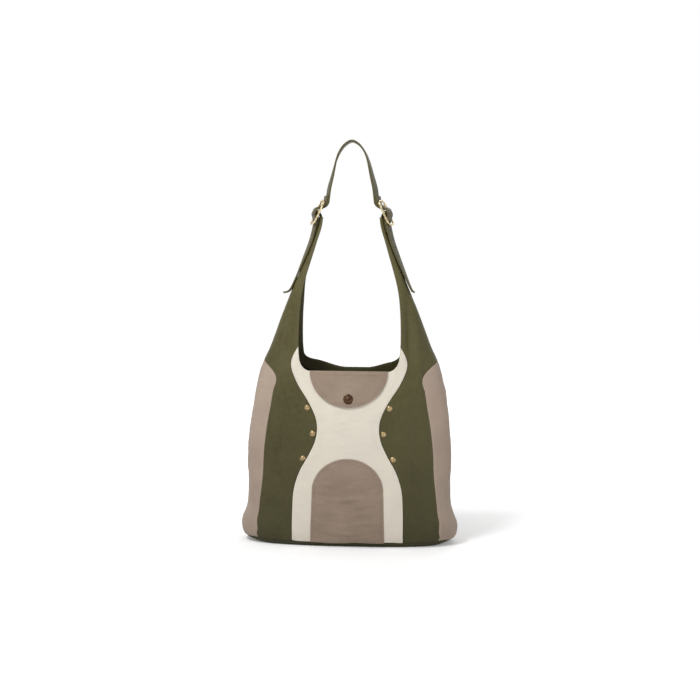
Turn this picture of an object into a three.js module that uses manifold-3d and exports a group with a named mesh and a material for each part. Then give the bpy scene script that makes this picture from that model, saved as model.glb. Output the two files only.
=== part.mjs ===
// A hobo shoulder bag: a patchwork cloth body with two tall ears, a front flap with a press stud,
// and a shoulder strap that two centre-bar buckles hold to the ears.
// Millimetres, +Z up, front towards -Y, origin in the middle of the flat underside.

import * as THREE from 'three';
import { mergeVertices } from 'three/addons/utils/BufferGeometryUtils.js';
import Module from 'manifold-3d';

const wasm = await Module();
wasm.setup();

// Main sizes: the hem of the mouth, the centre of the buckles, and the strap's rise above it.
const HEM_HEIGHT = 319;
const BUCKLE_X = 63;
const BUCKLE_Z = 606;
const STRAP_RISE = 130;
const STRAP_TOP_Z = BUCKLE_Z + STRAP_RISE;

// Sections through the body, from just under the sole to just above the necks.
// squareness 2 is an ellipse, and a higher value is boxier.
const UNDER_SOLE = { height: -6, halfWidth: 152, halfDepth: 44, squareness: 3 };
const SOLE = { height: 0, halfWidth: 172, halfDepth: 56, squareness: 3 };
const FOOT_CURVE = { height: 9, halfWidth: 191, halfDepth: 63, squareness: 3 };
const FOOT_BULGE = { height: 28, halfWidth: 200, halfDepth: 67.5, squareness: 3 };
const LOWER_BODY = { height: 70, halfWidth: 190.5, halfDepth: 67.5, squareness: 3 };
const MIDDLE = { height: HEM_HEIGHT - 136, halfWidth: 188, halfDepth: 64.5, squareness: 3 };
const UPPER_BODY = { height: HEM_HEIGHT - 69, halfWidth: 179.5, halfDepth: 60, squareness: 3 };
const SHOULDER = { height: HEM_HEIGHT - 3, halfWidth: 167, halfDepth: 52.5, squareness: 3 };
const EAR_ROOT = { height: HEM_HEIGHT + 42, halfWidth: 148, halfDepth: 48, squareness: 3 };
const EAR_LOW = { height: BUCKLE_Z - 179, halfWidth: 123, halfDepth: 38, squareness: 3.6 };
const EAR_HIGH = { height: BUCKLE_Z - 101, halfWidth: 91.5, halfDepth: 26, squareness: 5 };
const NECK_LOW = { height: BUCKLE_Z - 57, halfWidth: BUCKLE_X + 11, halfDepth: 20, squareness: 8 };
const NECK = { height: BUCKLE_Z - 25, halfWidth: BUCKLE_X, halfDepth: 17, squareness: 10 };
const NECK_TOP = { height: BUCKLE_Z - 6, halfWidth: BUCKLE_X - 2.7, halfDepth: 16.8, squareness: 12 };
const OVER_NECK = { height: BUCKLE_Z + 14, halfWidth: BUCKLE_X - 5, halfDepth: 16.5, squareness: 12 };
const SECTIONS = [
  UNDER_SOLE, SOLE, FOOT_CURVE, FOOT_BULGE, LOWER_BODY, MIDDLE, UPPER_BODY, SHOULDER,
  EAR_ROOT, EAR_LOW, EAR_HIGH, NECK_LOW, NECK, NECK_TOP, OVER_NECK,
];
const LEVEL_STEP = 64;
const QUARTER_STEPS = 8;

// Cloth layers, as wall and gap from the outside inwards.
const GAP = 0.3;
const SHELL_WALL = 2;
const FACING_WALL = 1.2;
const POCKET_WALL = 1;
const LINING_WALL = 1;
const SOLE_WALL = 2.5;
const BOARD_WALL = 2.5;

// Base panel: the seam line, and the rim that goes up inside the shell.
const BASE_SEAM_HEIGHT = 10;
const BASE_RIM_HEIGHT = 18;
const BASE_RIM_WALL = 2;

// Mouth: a straight hem with rounded corners, and the inner edges of the two ears above it.
const HEM_HALF_WIDTH = 70;
const MOUTH_CORNER_HEIGHT = 26;
const EAR_EDGE = [
  { height: HEM_HEIGHT + MOUTH_CORNER_HEIGHT, halfWidth: 91 },
  { height: HEM_HEIGHT + 46, halfWidth: 92.5 },
  { height: HEM_HEIGHT + 81, halfWidth: 92.5 },
  { height: BUCKLE_Z - 174, halfWidth: 91 },
  { height: BUCKLE_Z - 134, halfWidth: 86.8 },
  { height: EAR_HIGH.height, halfWidth: EAR_HIGH.halfWidth - 11.5 },
  { height: NECK_LOW.height, halfWidth: NECK_LOW.halfWidth - 6 },
  { height: NECK.height, halfWidth: NECK.halfWidth - 5.5 },
  { height: NECK_TOP.height, halfWidth: NECK_TOP.halfWidth - 5.3 },
  { height: OVER_NECK.height + 20, halfWidth: OVER_NECK.halfWidth - 6 },
];
const NECK_CUT_HEIGHT = BUCKLE_Z - 8;
const FACING_BAND = 25;
const FACING_TOP = BUCKLE_Z - 50;
const FACING_OVERLAP = 8;
const LINING_TOP = BUCKLE_Z - 166;

// Centre panel: an hourglass whose two tips reach the corners of the mouth.
const HOURGLASS = [
  { height: -20, halfWidth: 100.5 },
  { height: HEM_HEIGHT - 249, halfWidth: 100 },
  { height: HEM_HEIGHT - 215, halfWidth: 97.5 },
  { height: HEM_HEIGHT - 182, halfWidth: 87.5 },
  { height: HEM_HEIGHT - 150, halfWidth: 70 },
  { height: HEM_HEIGHT - 128, halfWidth: 60 },
  { height: HEM_HEIGHT - 106, halfWidth: 56 },
  { height: HEM_HEIGHT - 85, halfWidth: 58.5 },
  { height: HEM_HEIGHT - 57, halfWidth: 71.5 },
  { height: HEM_HEIGHT - 20, halfWidth: 94.5 },
  { height: HEM_HEIGHT + 13, halfWidth: 105.5 },
  { height: HEM_HEIGHT + 31, halfWidth: 100 },
  { height: HEM_HEIGHT + 45, halfWidth: 91 },
  { height: HEM_HEIGHT + 57, halfWidth: 80 },
];
const OUTLINE_STEP = 24;

// Arch panel at the foot of the centre panel, and the side gussets.
const ARCH_FOOT_HALF_WIDTH = 67.5;
const ARCH_SPRING_HALF_WIDTH = 64.5;
const ARCH_SPRING_HEIGHT = HEM_HEIGHT - 216;
const ARCH_TOP_HEIGHT = HEM_HEIGHT - 157;
const GUSSET_LEG = [
  { height: -20, halfWidth: 49 },
  { height: HEM_HEIGHT - 179, halfWidth: 50.5 },
  { height: HEM_HEIGHT - 69, halfWidth: 47.5 },
  { height: HEM_HEIGHT - 34, halfWidth: 45 },
];
const GUSSET_TOP_HEIGHT = HEM_HEIGHT + 17;
const GUSSET_SQUARENESS = 2.6;
const ARC_STEPS = 8;

// Flap over a flat slip pocket.
const FLAP_HALF_WIDTH = HEM_HALF_WIDTH + 0.5;
const FLAP_DROP = 65;
const FLAP_WALL = 1.8;
const FLAP_TOP_LIFT = 0.4;
const FLAP_FOOT_LIFT = 4.4;
const FLAP_RISE_OVER_HEM = 0.6;
const POCKET_HALF_WIDTH = 68;
const POCKET_BOTTOM = HEM_HEIGHT - 119;
const POCKET_TOP = HEM_HEIGHT - 19;
const SLIT_HALF_WIDTH = 55;
const SLIT_HEIGHT = 3.5;
const SLIT_CENTRE_HEIGHT = HEM_HEIGHT - 30;

// Press stud of the flap, and the six domed studs beside the waist.
const SNAP_HEIGHT = HEM_HEIGHT - 50;
const SNAP_CAP_RADIUS = 9;
const SNAP_CAP_RISE = 3.2;
const SNAP_SOCKET_RADIUS = 6.5;
const SNAP_SOCKET_WALL = 1.2;
const SNAP_STUD_RADIUS = 6;
const SNAP_STUD_WALL = 0.6;
const SNAP_SOCKET_GAP = 0.8;
const SNAP_NUB_RADIUS = 2.6;
const SNAP_NUB_RISE = 1;
// Studs: how far below the hem and how far outside the edge of the centre panel.
const STUD_SPOTS = [
  { name: 'upper', down: 66, off: 7.8 },
  { name: 'middle', down: 112.5, off: 7.6 },
  { name: 'lower', down: 158, off: 7.4 },
];
const STUD_CAP_RADIUS = 5.2;
const STUD_CAP_RISE = 2.6;
const POST_RADIUS = 1.3;
const POST_DISC_RADIUS = 4;
const POST_DISC_WALL = 0.5;
const SEAT_GAP = 0.5;
const POST_SEAT_GAP = 0.9;
const DOME_STEPS = 3;
const SNAP_CAP_SIDES = 20;
const SNAP_SIDES = 16;
const STUD_SIDES = 12;
const DRILL_LENGTH = 40;
const POST_SIDES = 8;

// The ears and the strap turn about their own upright line, so the outer faces look a little forward.
const TURN = THREE.MathUtils.degToRad(15);
const TURN_START_HEIGHT = BUCKLE_Z - 166;
const TURN_FULL_HEIGHT = BUCKLE_Z - 46;
const TURN_HOLD_HEIGHT = BUCKLE_Z + 39;

// Buckle: a flat frame with a round centre bar, leaning with the strap.
const BUCKLE_LEAN = THREE.MathUtils.degToRad(25);
const FRAME_WIDTH = 40;
const FRAME_LENGTH = 50;
const FRAME_CORNER = 9;
const WINDOW_WIDTH = 30;
const WINDOW_LENGTH = 43;
const WINDOW_CORNER = 4;
const FRAME_WALL = 3.2;
const FRAME_BEVEL = 0.6;
const BAR_INTO_FRAME = 1;
const BAR_RADIUS = 1.75;
const PRONG_RING_WALL = 1.55;
const PRONG_RING_WIDTH = 4.5;
const PRONG_RADIUS = 1.1;
const PRONG_OVERHANG = 1.5;
const PRONG_ROOT = 1.2;
const PRONG_TIP_SHARE = 0.8;
const PRONG_SLOT_GAP = 0.4;
const PRONG_SLOT_STEPS = 4;
const PRONG_SIDES = 8;
const PRONG_LIFT = THREE.MathUtils.degToRad(6);
const FRAME_SWING = THREE.MathUtils.degToRad(3);

// Chape: the cloth loop that holds the centre bar and is sewn over the end of the neck.
const CHAPE_WALL = 2;
const CHAPE_WIDTH = 21;
const CHAPE_OUTER_END = BUCKLE_Z - 35;
const CHAPE_INNER_END = BUCKLE_Z - 39;
const CHAPE_LOOP_STEPS = 8;
const CHAPE_LOOP_DIP = 0.2;
const CHAPE_NECK_HEIGHT = BUCKLE_Z - 12;
const CHAPE_EASE = 0.1;
const CHAPE_SLOT_LIFT = 1;

// Straps: the shoulder strap, and a holed tab at each end that goes down through the buckle.
const STRAP_WIDTH = 28;
const STRAP_WALL = 3.2;
// The strap's arc, as shares of BUCKLE_X from the middle and of STRAP_RISE above the buckles.
const STRAP_ARC = [
  { across: 0.66, up: 0.331 },
  { across: 0.622, up: 0.415 },
  { across: 0.57, up: 0.515 },
  { across: 0.517, up: 0.631 },
  { across: 0.456, up: 0.746 },
  { across: 0.359, up: 0.854 },
  { across: 0.206, up: 0.95 },
];
// Where the tab starts above the buckle, as distances from the buckle's centre.
const LAP_TOP = [
  { inward: 16.3, up: 31 },
  { inward: 15.4, up: 24 },
];
const LAP_END_LENGTH = 27;
const LAP_STEPS = 10;
const STRAP_STEPS = 22;
// The tab's way through the buckle: up is a share of the way from the bar to an end rail,
// and climb a share of the way from under the rail to over the bar.
const TAB_PASS = [
  { up: 1, climb: 0 },
  { up: 0.774, climb: 0.079 },
  { up: 0.495, climb: 0.537 },
  { up: 0.237, climb: 0.974 },
];
const TAB_CROWN = 1.031;
// The tab's tail down the outside of the ear: how far below the buckle and how far off the skin.
const TAIL = [
  { down: 33, off: CHAPE_WALL + STRAP_WALL / 2 + 1.2 },
  { down: 43, off: CHAPE_WALL + STRAP_WALL / 2 + 0.3 },
  { down: 57, off: STRAP_WALL / 2 + 1.4 },
  { down: 79, off: STRAP_WALL / 2 + 1.4 },
  { down: 101, off: STRAP_WALL / 2 + 1.3 },
  { down: 123, off: STRAP_WALL / 2 + 1.3 },
];
// The curled ends, from the last point of the tail.
const LEFT_TAIL_END = [{ out: 7.2, down: 16 }, { out: 13.7, down: 22 }, { out: 21.7, down: 23.5 }];
const RIGHT_TAIL_END = [{ out: 6.3, down: 14 }, { out: 9.2, down: 19 }, { out: 13.7, down: 21.5 }];
const TAB_STEPS = 40;
const TIP_LENGTH = 13;
const TIP_BLUNTNESS = 0.45;
const HOLE_RADIUS = 2;
const HOLE_SIDES = 8;
const HOLE_PITCH = 16.5;
const HOLE_COUNT = 8;
const FIRST_HOLE_FROM_BAR = 25;

// Finishes.
const OLIVE = { color: '#5b5640', roughness: 0.62, metalness: 0 };
const OLIVE_DARK = { color: '#4d493c', roughness: 0.65, metalness: 0 };
const OLIVE_STRAP = { color: '#525047', roughness: 0.55, metalness: 0 };
const CREAM = { color: '#dbd1c5', roughness: 0.85, metalness: 0 };
const TAUPE = { color: '#988676', roughness: 0.85, metalness: 0 };
const TAUPE_SIDE = { color: '#a99788', roughness: 0.85, metalness: 0 };
const DARK_LINING = { color: '#1f1b15', roughness: 0.9, metalness: 0 };
const GREY_BOARD = { color: '#6f6a62', roughness: 0.9, metalness: 0 };
const PALE_BRASS = { color: '#b9a06c', roughness: 0.3, metalness: 1 };
const ANTIQUE_BRASS = { color: '#8d7448', roughness: 0.35, metalness: 1 };
const ANTIQUE_COPPER = { color: '#5a4030', roughness: 0.35, metalness: 1 };

const MERGE_DISTANCE = 1e-4;
const TIP_HALF_WIDTH = 0.01;

// Far enough to clear the whole bag.
const REACH = 300;
const HIGH = 700;

const SIDES = [['left', -1], ['right', 1]];

function toSolid(geometry) {
  const bare = new THREE.BufferGeometry();
  bare.setAttribute('position', geometry.getAttribute('position').clone());
  bare.setIndex(geometry.getIndex());
  const merged = mergeVertices(bare, MERGE_DISTANCE);
  return new wasm.Manifold(new wasm.Mesh({
    numProp: 3,
    vertProperties: new Float32Array(merged.getAttribute('position').array),
    triVerts: new Uint32Array(merged.getIndex().array),
  }));
}

function toGeometry(solid) {
  const mesh = solid.getMesh();
  const geometry = new THREE.BufferGeometry();
  geometry.setAttribute('position', new THREE.BufferAttribute(new Float32Array(mesh.vertProperties), 3));
  geometry.setIndex(new THREE.BufferAttribute(new Uint32Array(mesh.triVerts), 1));
  return geometry;
}

// Smooth curve through a list of heights and values.
function profile(stations, ...keys) {
  const heights = stations.map((station) => station.height);
  const values = stations.flatMap((station) => keys.map((key) => station[key]));
  const curve = new THREE.CubicInterpolant(heights, values, keys.length);
  return (height) => Array.from(curve.evaluate(height));
}

const sectionAt = profile(SECTIONS, 'halfWidth', 'halfDepth', 'squareness');
const hourglassAt = profile(HOURGLASS, 'halfWidth');
const earEdgeAt = profile(EAR_EDGE, 'halfWidth');
const gussetLegAt = profile(GUSSET_LEG, 'halfWidth');

// Heights from low to high, with every station on a level and no step above the given one.
function levels(stations, step) {
  const heights = [stations[0].height];
  for (let i = 1; i < stations.length; i += 1) {
    const low = stations[i - 1].height;
    const high = stations[i].height;
    const count = Math.ceil((high - low) / step);
    for (let k = 1; k <= count; k += 1) {
      heights.push(low + ((high - low) * k) / count);
    }
  }
  return heights;
}

// One closed loop of the skin, from +X round by +Y.
function skinLoop(height) {
  const [halfWidth, halfDepth, squareness] = sectionAt(height);
  const count = 4 * QUARTER_STEPS;
  return Array.from({ length: count }, (_, k) => {
    const angle = (2 * Math.PI * k) / count;
    const across = Math.cos(angle);
    const along = Math.sin(angle);
    const reach = (Math.abs(across) ** squareness + Math.abs(along) ** squareness) ** (-1 / squareness);
    return new THREE.Vector3(halfWidth * across * reach, halfDepth * along * reach, height);
  });
}

function skinGrid() {
  const loops = levels(SECTIONS, LEVEL_STEP).map(skinLoop);
  const last = loops.length - 1;
  return loops.map((loop, row) => loop.map((point, k) => {
    const next = loop[(k + 1) % loop.length];
    const previous = loop[(k + loop.length - 1) % loop.length];
    const around = next.clone().sub(previous);
    const upward = loops[Math.min(row + 1, last)][k].clone().sub(loops[Math.max(row - 1, 0)][k]);
    return { point, normal: around.cross(upward).normalize() };
  }));
}

const SKIN = skinGrid();

// The whole inside of the skin, moved outward by lift(height).
function skinSolid(lift) {
  const columns = SKIN[0].length;
  const top = SKIN.length - 1;
  const positions = [];
  const faces = [];
  SKIN.forEach((row) => row.forEach(({ point, normal }) => {
    positions.push(...point.clone().addScaledVector(normal, lift(point.z)).toArray());
  }));
  positions.push(0, 0, SKIN[0][0].point.z, 0, 0, SKIN[top][0].point.z);
  const bottomCentre = SKIN.length * columns;
  for (let k = 0; k < columns; k += 1) {
    const next = (k + 1) % columns;
    for (let row = 0; row < top; row += 1) {
      const low = row * columns;
      const high = low + columns;
      faces.push(low + k, low + next, high + next, low + k, high + next, high + k);
    }
    faces.push(bottomCentre, next, k);
    faces.push(bottomCentre + 1, top * columns + k, top * columns + next);
  }
  const geometry = new THREE.BufferGeometry();
  geometry.setAttribute('position', new THREE.Float32BufferAttribute(positions, 3));
  geometry.setIndex(faces);
  return toSolid(geometry);
}

const SKIN_MESH = new THREE.Mesh(toGeometry(skinSolid(() => 0)));

function layer(outerLift, wall) {
  return skinSolid(() => outerLift).subtract(skinSolid(() => outerLift - wall));
}

function block(low, high) {
  const size = high.map((value, axis) => value - low[axis]);
  const box = new THREE.BoxGeometry(...size);
  box.translate(...low.map((value, axis) => value + size[axis] / 2));
  return toSolid(box);
}

function between(lowHeight, highHeight) {
  return block([-REACH, -REACH, lowHeight], [REACH, REACH, highHeight]);
}

// A closed outline from its right half, listed from bottom to top.
function mirroredShape(half) {
  const right = half.map(([x, z]) => new THREE.Vector2(x, z));
  const left = half.map(([x, z]) => new THREE.Vector2(-x, z)).reverse();
  return new THREE.Shape([...right, ...left]);
}

// A prism along Y from an outline in X and Z.
function prismAlongY(shape, from, to) {
  const prism = new THREE.ExtrudeGeometry(shape, { depth: to - from, bevelEnabled: false });
  return prism.rotateX(Math.PI / 2).translate(0, to, 0);
}

// A prism along X from an outline in Y and Z.
function prismAlongX(shape, from, to) {
  const prism = new THREE.ExtrudeGeometry(shape, { depth: to - from, bevelEnabled: false });
  return prism.rotateX(Math.PI / 2).rotateZ(Math.PI / 2).translate(from, 0, 0);
}

function quarterArc(centreX, centreZ, radiusX, radiusZ, from, to) {
  const arc = [];
  for (let i = 0; i <= ARC_STEPS; i += 1) {
    const angle = THREE.MathUtils.lerp(from, to, i / ARC_STEPS);
    arc.push([centreX + radiusX * Math.cos(angle), centreZ + radiusZ * Math.sin(angle)]);
  }
  return arc;
}

// The right half of an arch, from its foot up to its crown.
function archHalf(footHalfWidth, springHalfWidth, springHeight, topHeight) {
  const crown = quarterArc(0, springHeight, springHalfWidth, topHeight - springHeight, 0, Math.PI / 2);
  return [[footHalfWidth, 0], ...crown.slice(0, -1), [TIP_HALF_WIDTH, topHeight]];
}

function mouthOutline(grow) {
  const cornerWidth = EAR_EDGE[0].halfWidth - HEM_HALF_WIDTH + grow;
  const cornerHeight = MOUTH_CORNER_HEIGHT + grow;
  const cornerTop = HEM_HEIGHT + MOUTH_CORNER_HEIGHT;
  const corner = quarterArc(HEM_HALF_WIDTH, cornerTop, cornerWidth, cornerHeight, -Math.PI / 2, 0);
  const edge = levels(EAR_EDGE, OUTLINE_STEP).slice(1);
  return mirroredShape([...corner, ...edge.map((height) => [earEdgeAt(height)[0] + grow, height])]);
}

function hourglassOutline(grow) {
  const heights = levels(HOURGLASS, OUTLINE_STEP);
  return mirroredShape(heights.map((height) => [hourglassAt(height)[0] + grow, height]));
}

function archOutline(grow) {
  const foot = ARCH_FOOT_HALF_WIDTH + grow;
  const spring = ARCH_SPRING_HALF_WIDTH + grow;
  return mirroredShape(archHalf(foot, spring, ARCH_SPRING_HEIGHT, ARCH_TOP_HEIGHT + grow));
}

function gussetOutline(grow) {
  const leg = levels(GUSSET_LEG, OUTLINE_STEP).map((height) => [gussetLegAt(height)[0] + grow, height]);
  const [springHalfWidth, springHeight] = leg.pop();
  const rise = GUSSET_TOP_HEIGHT + grow - springHeight;
  const squared = (share) => share ** (2 / GUSSET_SQUARENESS);
  const crown = quarterArc(0, 0, 1, 1, 0, Math.PI / 2).slice(0, -1).map(([across, up]) => [
    springHalfWidth * squared(across), springHeight + rise * squared(up),
  ]);
  return mirroredShape([...leg, ...crown, [TIP_HALF_WIDTH, springHeight + rise]]);
}

function flapOutline() {
  const foot = quarterArc(0, HEM_HEIGHT, FLAP_HALF_WIDTH, FLAP_DROP, -Math.PI / 2, 0).slice(1);
  const top = [FLAP_HALF_WIDTH, HEM_HEIGHT + FLAP_RISE_OVER_HEM];
  return mirroredShape([[TIP_HALF_WIDTH, HEM_HEIGHT - FLAP_DROP], ...foot, top]);
}

function rectangle(halfWidth, low, high) {
  return mirroredShape([[halfWidth, low], [halfWidth, high]]);
}

function inFront(shape) {
  return toSolid(prismAlongY(shape, -REACH, 0));
}

function behind(shape) {
  return toSolid(prismAlongY(shape, 0, REACH));
}

function through(shape) {
  return toSolid(prismAlongY(shape, -REACH, REACH));
}

// Point and outward direction on the front of the skin.
function frontSpot(x, z) {
  const eye = new THREE.Vector3(x, -REACH, z);
  const ray = new THREE.Raycaster(eye, new THREE.Vector3(0, 1, 0));
  const [hit] = ray.intersectObject(SKIN_MESH);
  return { point: hit.point, normal: hit.face.normal };
}

// Half width of the faceted skin at a height.
function sideAt(height) {
  const row = SKIN.findIndex(([{ point }]) => point.z > height);
  const [{ point: low }] = SKIN[row - 1];
  const [{ point: high }] = SKIN[row];
  return THREE.MathUtils.mapLinear(height, low.z, high.z, low.x, high.x);
}

// A turned piece whose axis is Z, from its radius and height pairs.
function turned(pairs, segments) {
  const points = pairs.map(([radius, height]) => new THREE.Vector2(radius, height));
  return new THREE.LatheGeometry(points, segments).rotateX(Math.PI / 2);
}

// Profile of a domed cap, from its rim to its crown.
function dome(radius, foot, rise) {
  const pairs = [];
  for (let i = 0; i < DOME_STEPS; i += 1) {
    const angle = (Math.PI / 2) * (i / DOME_STEPS);
    pairs.push([radius * Math.cos(angle), foot + rise * Math.sin(angle)]);
  }
  return [...pairs, [0, foot + rise]];
}

function standOnSkin(object, spot) {
  object.position.copy(spot.point);
  object.quaternion.setFromUnitVectors(new THREE.Vector3(0, 0, 1), spot.normal);
  return object;
}

function drillAt(spot, radius) {
  const drill = new THREE.CylinderGeometry(radius, radius, DRILL_LENGTH, STUD_SIDES).rotateX(Math.PI / 2);
  const place = standOnSkin(new THREE.Object3D(), spot);
  place.updateMatrix();
  return toSolid(drill.applyMatrix4(place.matrix));
}

function turnAngle(height) {
  const rise = THREE.MathUtils.smoothstep(height, TURN_START_HEIGHT, TURN_FULL_HEIGHT);
  const fall = THREE.MathUtils.smoothstep(height, TURN_HOLD_HEIGHT, STRAP_TOP_Z);
  return TURN * rise * (1 - fall);
}

// Turns both ears and what is sewn to them, each about its own upright line.
function turnEars(geometry) {
  const position = geometry.getAttribute('position');
  for (let i = 0; i < position.count; i += 1) {
    const angle = turnAngle(position.getZ(i));
    const side = Math.sign(position.getX(i));
    const out = Math.abs(position.getX(i)) - BUCKLE_X;
    const across = position.getY(i);
    position.setX(i, side * (BUCKLE_X + out * Math.cos(angle) + across * Math.sin(angle)));
    position.setY(i, across * Math.cos(angle) - out * Math.sin(angle));
  }
  return geometry;
}

function piece(name, shape, finish) {
  const geometry = shape.isBufferGeometry ? shape : toGeometry(shape);
  geometry.computeVertexNormals();
  const mesh = new THREE.Mesh(geometry, new THREE.MeshStandardMaterial(finish));
  mesh.name = name;
  return mesh;
}

// Cloth pieces take the turn of the ears.
function clothPiece(name, solid, finish) {
  return piece(name, turnEars(toGeometry(solid)), finish);
}

function studSpots(sign) {
  return STUD_SPOTS.map(({ name, down, off }) => {
    const height = HEM_HEIGHT - down;
    return { name, spot: frontSpot(sign * (hourglassAt(height)[0] + off), height) };
  });
}

// The front or the back of the shell: its olive sides, its centre and its arch.
function facePanels(face, open, sides) {
  const isFront = face === 'front';
  const place = isFront ? inFront : behind;
  const near = isFront ? -REACH : GAP / 2;
  const faceHalf = block([-REACH, near, 0], [REACH, near + REACH - GAP / 2, HIGH]);
  const cloth = open.intersect(faceHalf);
  const outer = sides.intersect(faceHalf).subtract(place(hourglassOutline(GAP / 2)));
  const middle = cloth.intersect(place(hourglassOutline(-GAP / 2)));
  let centre = middle.subtract(place(archOutline(GAP / 2)));
  if (isFront) {
    const slitLow = SLIT_CENTRE_HEIGHT - SLIT_HEIGHT / 2;
    centre = centre
      .subtract(inFront(rectangle(SLIT_HALF_WIDTH, slitLow, slitLow + SLIT_HEIGHT)))
      .subtract(drillAt(frontSpot(0, SNAP_HEIGHT), POST_RADIUS + GAP));
  }
  const pieces = [
    clothPiece(`${face}_centre_panel`, centre, CREAM),
    clothPiece(`${face}_arch_panel`, cloth.intersect(place(archOutline(-GAP / 2))), TAUPE),
  ];
  for (const [side, sign] of SIDES) {
    const inner = sign > 0 ? 0 : -REACH;
    let panel = outer.intersect(block([inner, -REACH, 0], [inner + REACH, REACH, HIGH]));
    if (isFront) {
      studSpots(sign).forEach(({ spot }) => {
        panel = panel.subtract(drillAt(spot, POST_RADIUS + GAP));
      });
    }
    pieces.push(clothPiece(`${face}_${side}_panel`, panel, OLIVE));
  }
  return pieces;
}

function shellPanels() {
  const shell = layer(0, SHELL_WALL).intersect(between(BASE_SEAM_HEIGHT + GAP / 2, NECK_CUT_HEIGHT));
  const open = shell.subtract(through(mouthOutline(0)));
  const sides = open.subtract(toSolid(prismAlongX(gussetOutline(GAP / 2), -REACH, REACH)));
  const gussets = SIDES.map(([side, sign]) => {
    const inner = sign > 0 ? 0 : -REACH;
    const arch = toSolid(prismAlongX(gussetOutline(-GAP / 2), inner, inner + REACH));
    return clothPiece(`${side}_gusset`, open.intersect(arch), TAUPE_SIDE);
  });
  return [...facePanels('front', open, sides), ...facePanels('back', open, sides), ...gussets];
}

function basePieces() {
  const rimLift = -SHELL_WALL - GAP;
  const rimInner = skinSolid(() => rimLift - BASE_RIM_WALL);
  const dish = skinSolid(() => 0).intersect(between(0, BASE_SEAM_HEIGHT - GAP / 2));
  const rim = skinSolid(() => rimLift).intersect(between(SOLE_WALL, BASE_RIM_HEIGHT));
  const panel = dish.add(rim).subtract(rimInner.intersect(between(SOLE_WALL, HIGH)));
  const boardLow = SOLE_WALL + GAP;
  const boardHigh = boardLow + BOARD_WALL;
  const inside = skinSolid(() => rimLift - BASE_RIM_WALL - GAP);
  const board = inside.intersect(between(boardLow, boardHigh));
  const liningLow = boardHigh + GAP;
  const lining = inside.intersect(between(liningLow, liningLow + LINING_WALL));
  return [
    piece('base_panel', panel, OLIVE_DARK),
    piece('base_board', board, GREY_BOARD),
    piece('lining_base', lining, DARK_LINING),
  ];
}

function innerPieces() {
  const facingLift = -SHELL_WALL - GAP;
  const pocketLift = facingLift - FACING_WALL - GAP;
  const liningLift = pocketLift - POCKET_WALL - GAP;
  const liningLow = SOLE_WALL + BOARD_WALL + LINING_WALL + 3 * GAP;
  const facing = layer(facingLift, FACING_WALL)
    .intersect(through(mouthOutline(FACING_BAND)))
    .intersect(between(0, FACING_TOP))
    .subtract(through(mouthOutline(0)));
  const lining = layer(liningLift, LINING_WALL)
    .intersect(between(liningLow, LINING_TOP))
    .subtract(through(mouthOutline(FACING_BAND - FACING_OVERLAP)));
  const pocket = layer(pocketLift, POCKET_WALL)
    .intersect(inFront(rectangle(POCKET_HALF_WIDTH, POCKET_BOTTOM, POCKET_TOP)));
  const front = block([-REACH, -REACH, 0], [REACH, -GAP / 2, HIGH]);
  const back = block([-REACH, GAP / 2, 0], [REACH, REACH, HIGH]);
  return [
    clothPiece('front_facing', facing.intersect(front), OLIVE_DARK),
    clothPiece('back_facing', facing.intersect(back), OLIVE_DARK),
    clothPiece('lining_front', lining.intersect(front), DARK_LINING),
    clothPiece('lining_back', lining.intersect(back), DARK_LINING),
    clothPiece('pocket_back', pocket, DARK_LINING),
  ];
}

function flapLift(height) {
  const share = THREE.MathUtils.clamp((HEM_HEIGHT - height) / FLAP_DROP, 0, 1);
  return THREE.MathUtils.lerp(FLAP_TOP_LIFT, FLAP_FOOT_LIFT, share);
}

function flapPieces() {
  const outer = skinSolid((height) => flapLift(height) + FLAP_WALL);
  const spot = frontSpot(0, SNAP_HEIGHT);
  const flap = outer.subtract(skinSolid(flapLift))
    .intersect(inFront(flapOutline()))
    .subtract(drillAt(spot, POST_RADIUS + GAP));
  const flapInner = flapLift(SNAP_HEIGHT);
  const flapOuter = flapInner + FLAP_WALL;
  const capFoot = flapOuter + SNAP_SOCKET_GAP;
  const socketTop = flapInner - SNAP_SOCKET_GAP;
  const socketFoot = socketTop - SNAP_SOCKET_WALL;
  const socketBore = SNAP_NUB_RADIUS + GAP;
  const studTop = GAP + SNAP_STUD_WALL;
  const nubTop = studTop + SNAP_NUB_RISE;
  const cap = turned([
    [0, flapInner], [POST_RADIUS, flapInner], [POST_RADIUS, capFoot],
    ...dome(SNAP_CAP_RADIUS, capFoot, SNAP_CAP_RISE),
  ], SNAP_CAP_SIDES);
  const socket = turned([
    [socketBore, socketFoot], [SNAP_SOCKET_RADIUS, socketFoot], [SNAP_SOCKET_RADIUS, socketTop],
    [socketBore, socketTop], [socketBore, socketFoot],
  ], SNAP_SIDES);
  const stud = turned([
    [0, GAP], [SNAP_STUD_RADIUS, GAP], [SNAP_STUD_RADIUS, studTop],
    [SNAP_NUB_RADIUS, studTop], [SNAP_NUB_RADIUS, nubTop], [0, nubTop],
  ], SNAP_SIDES);
  return [
    clothPiece('front_flap', flap, TAUPE),
    standOnSkin(piece('flap_snap_cap', cap, ANTIQUE_COPPER), spot),
    standOnSkin(piece('flap_snap_socket', socket, ANTIQUE_COPPER), spot),
    standOnSkin(piece('front_snap_stud', stud, ANTIQUE_COPPER), spot),
    standOnSkin(piece('front_snap_post', postGeometry(SNAP_STUD_RADIUS), ANTIQUE_COPPER), spot),
  ];
}

// A pin through the shell with a flat disc behind it.
function postGeometry(discRadius) {
  const discTop = -SHELL_WALL - POST_SEAT_GAP;
  return turned([
    [0, discTop - POST_DISC_WALL], [discRadius, discTop - POST_DISC_WALL], [discRadius, discTop],
    [POST_RADIUS, discTop], [POST_RADIUS, 0], [0, 0],
  ], POST_SIDES);
}

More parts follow.
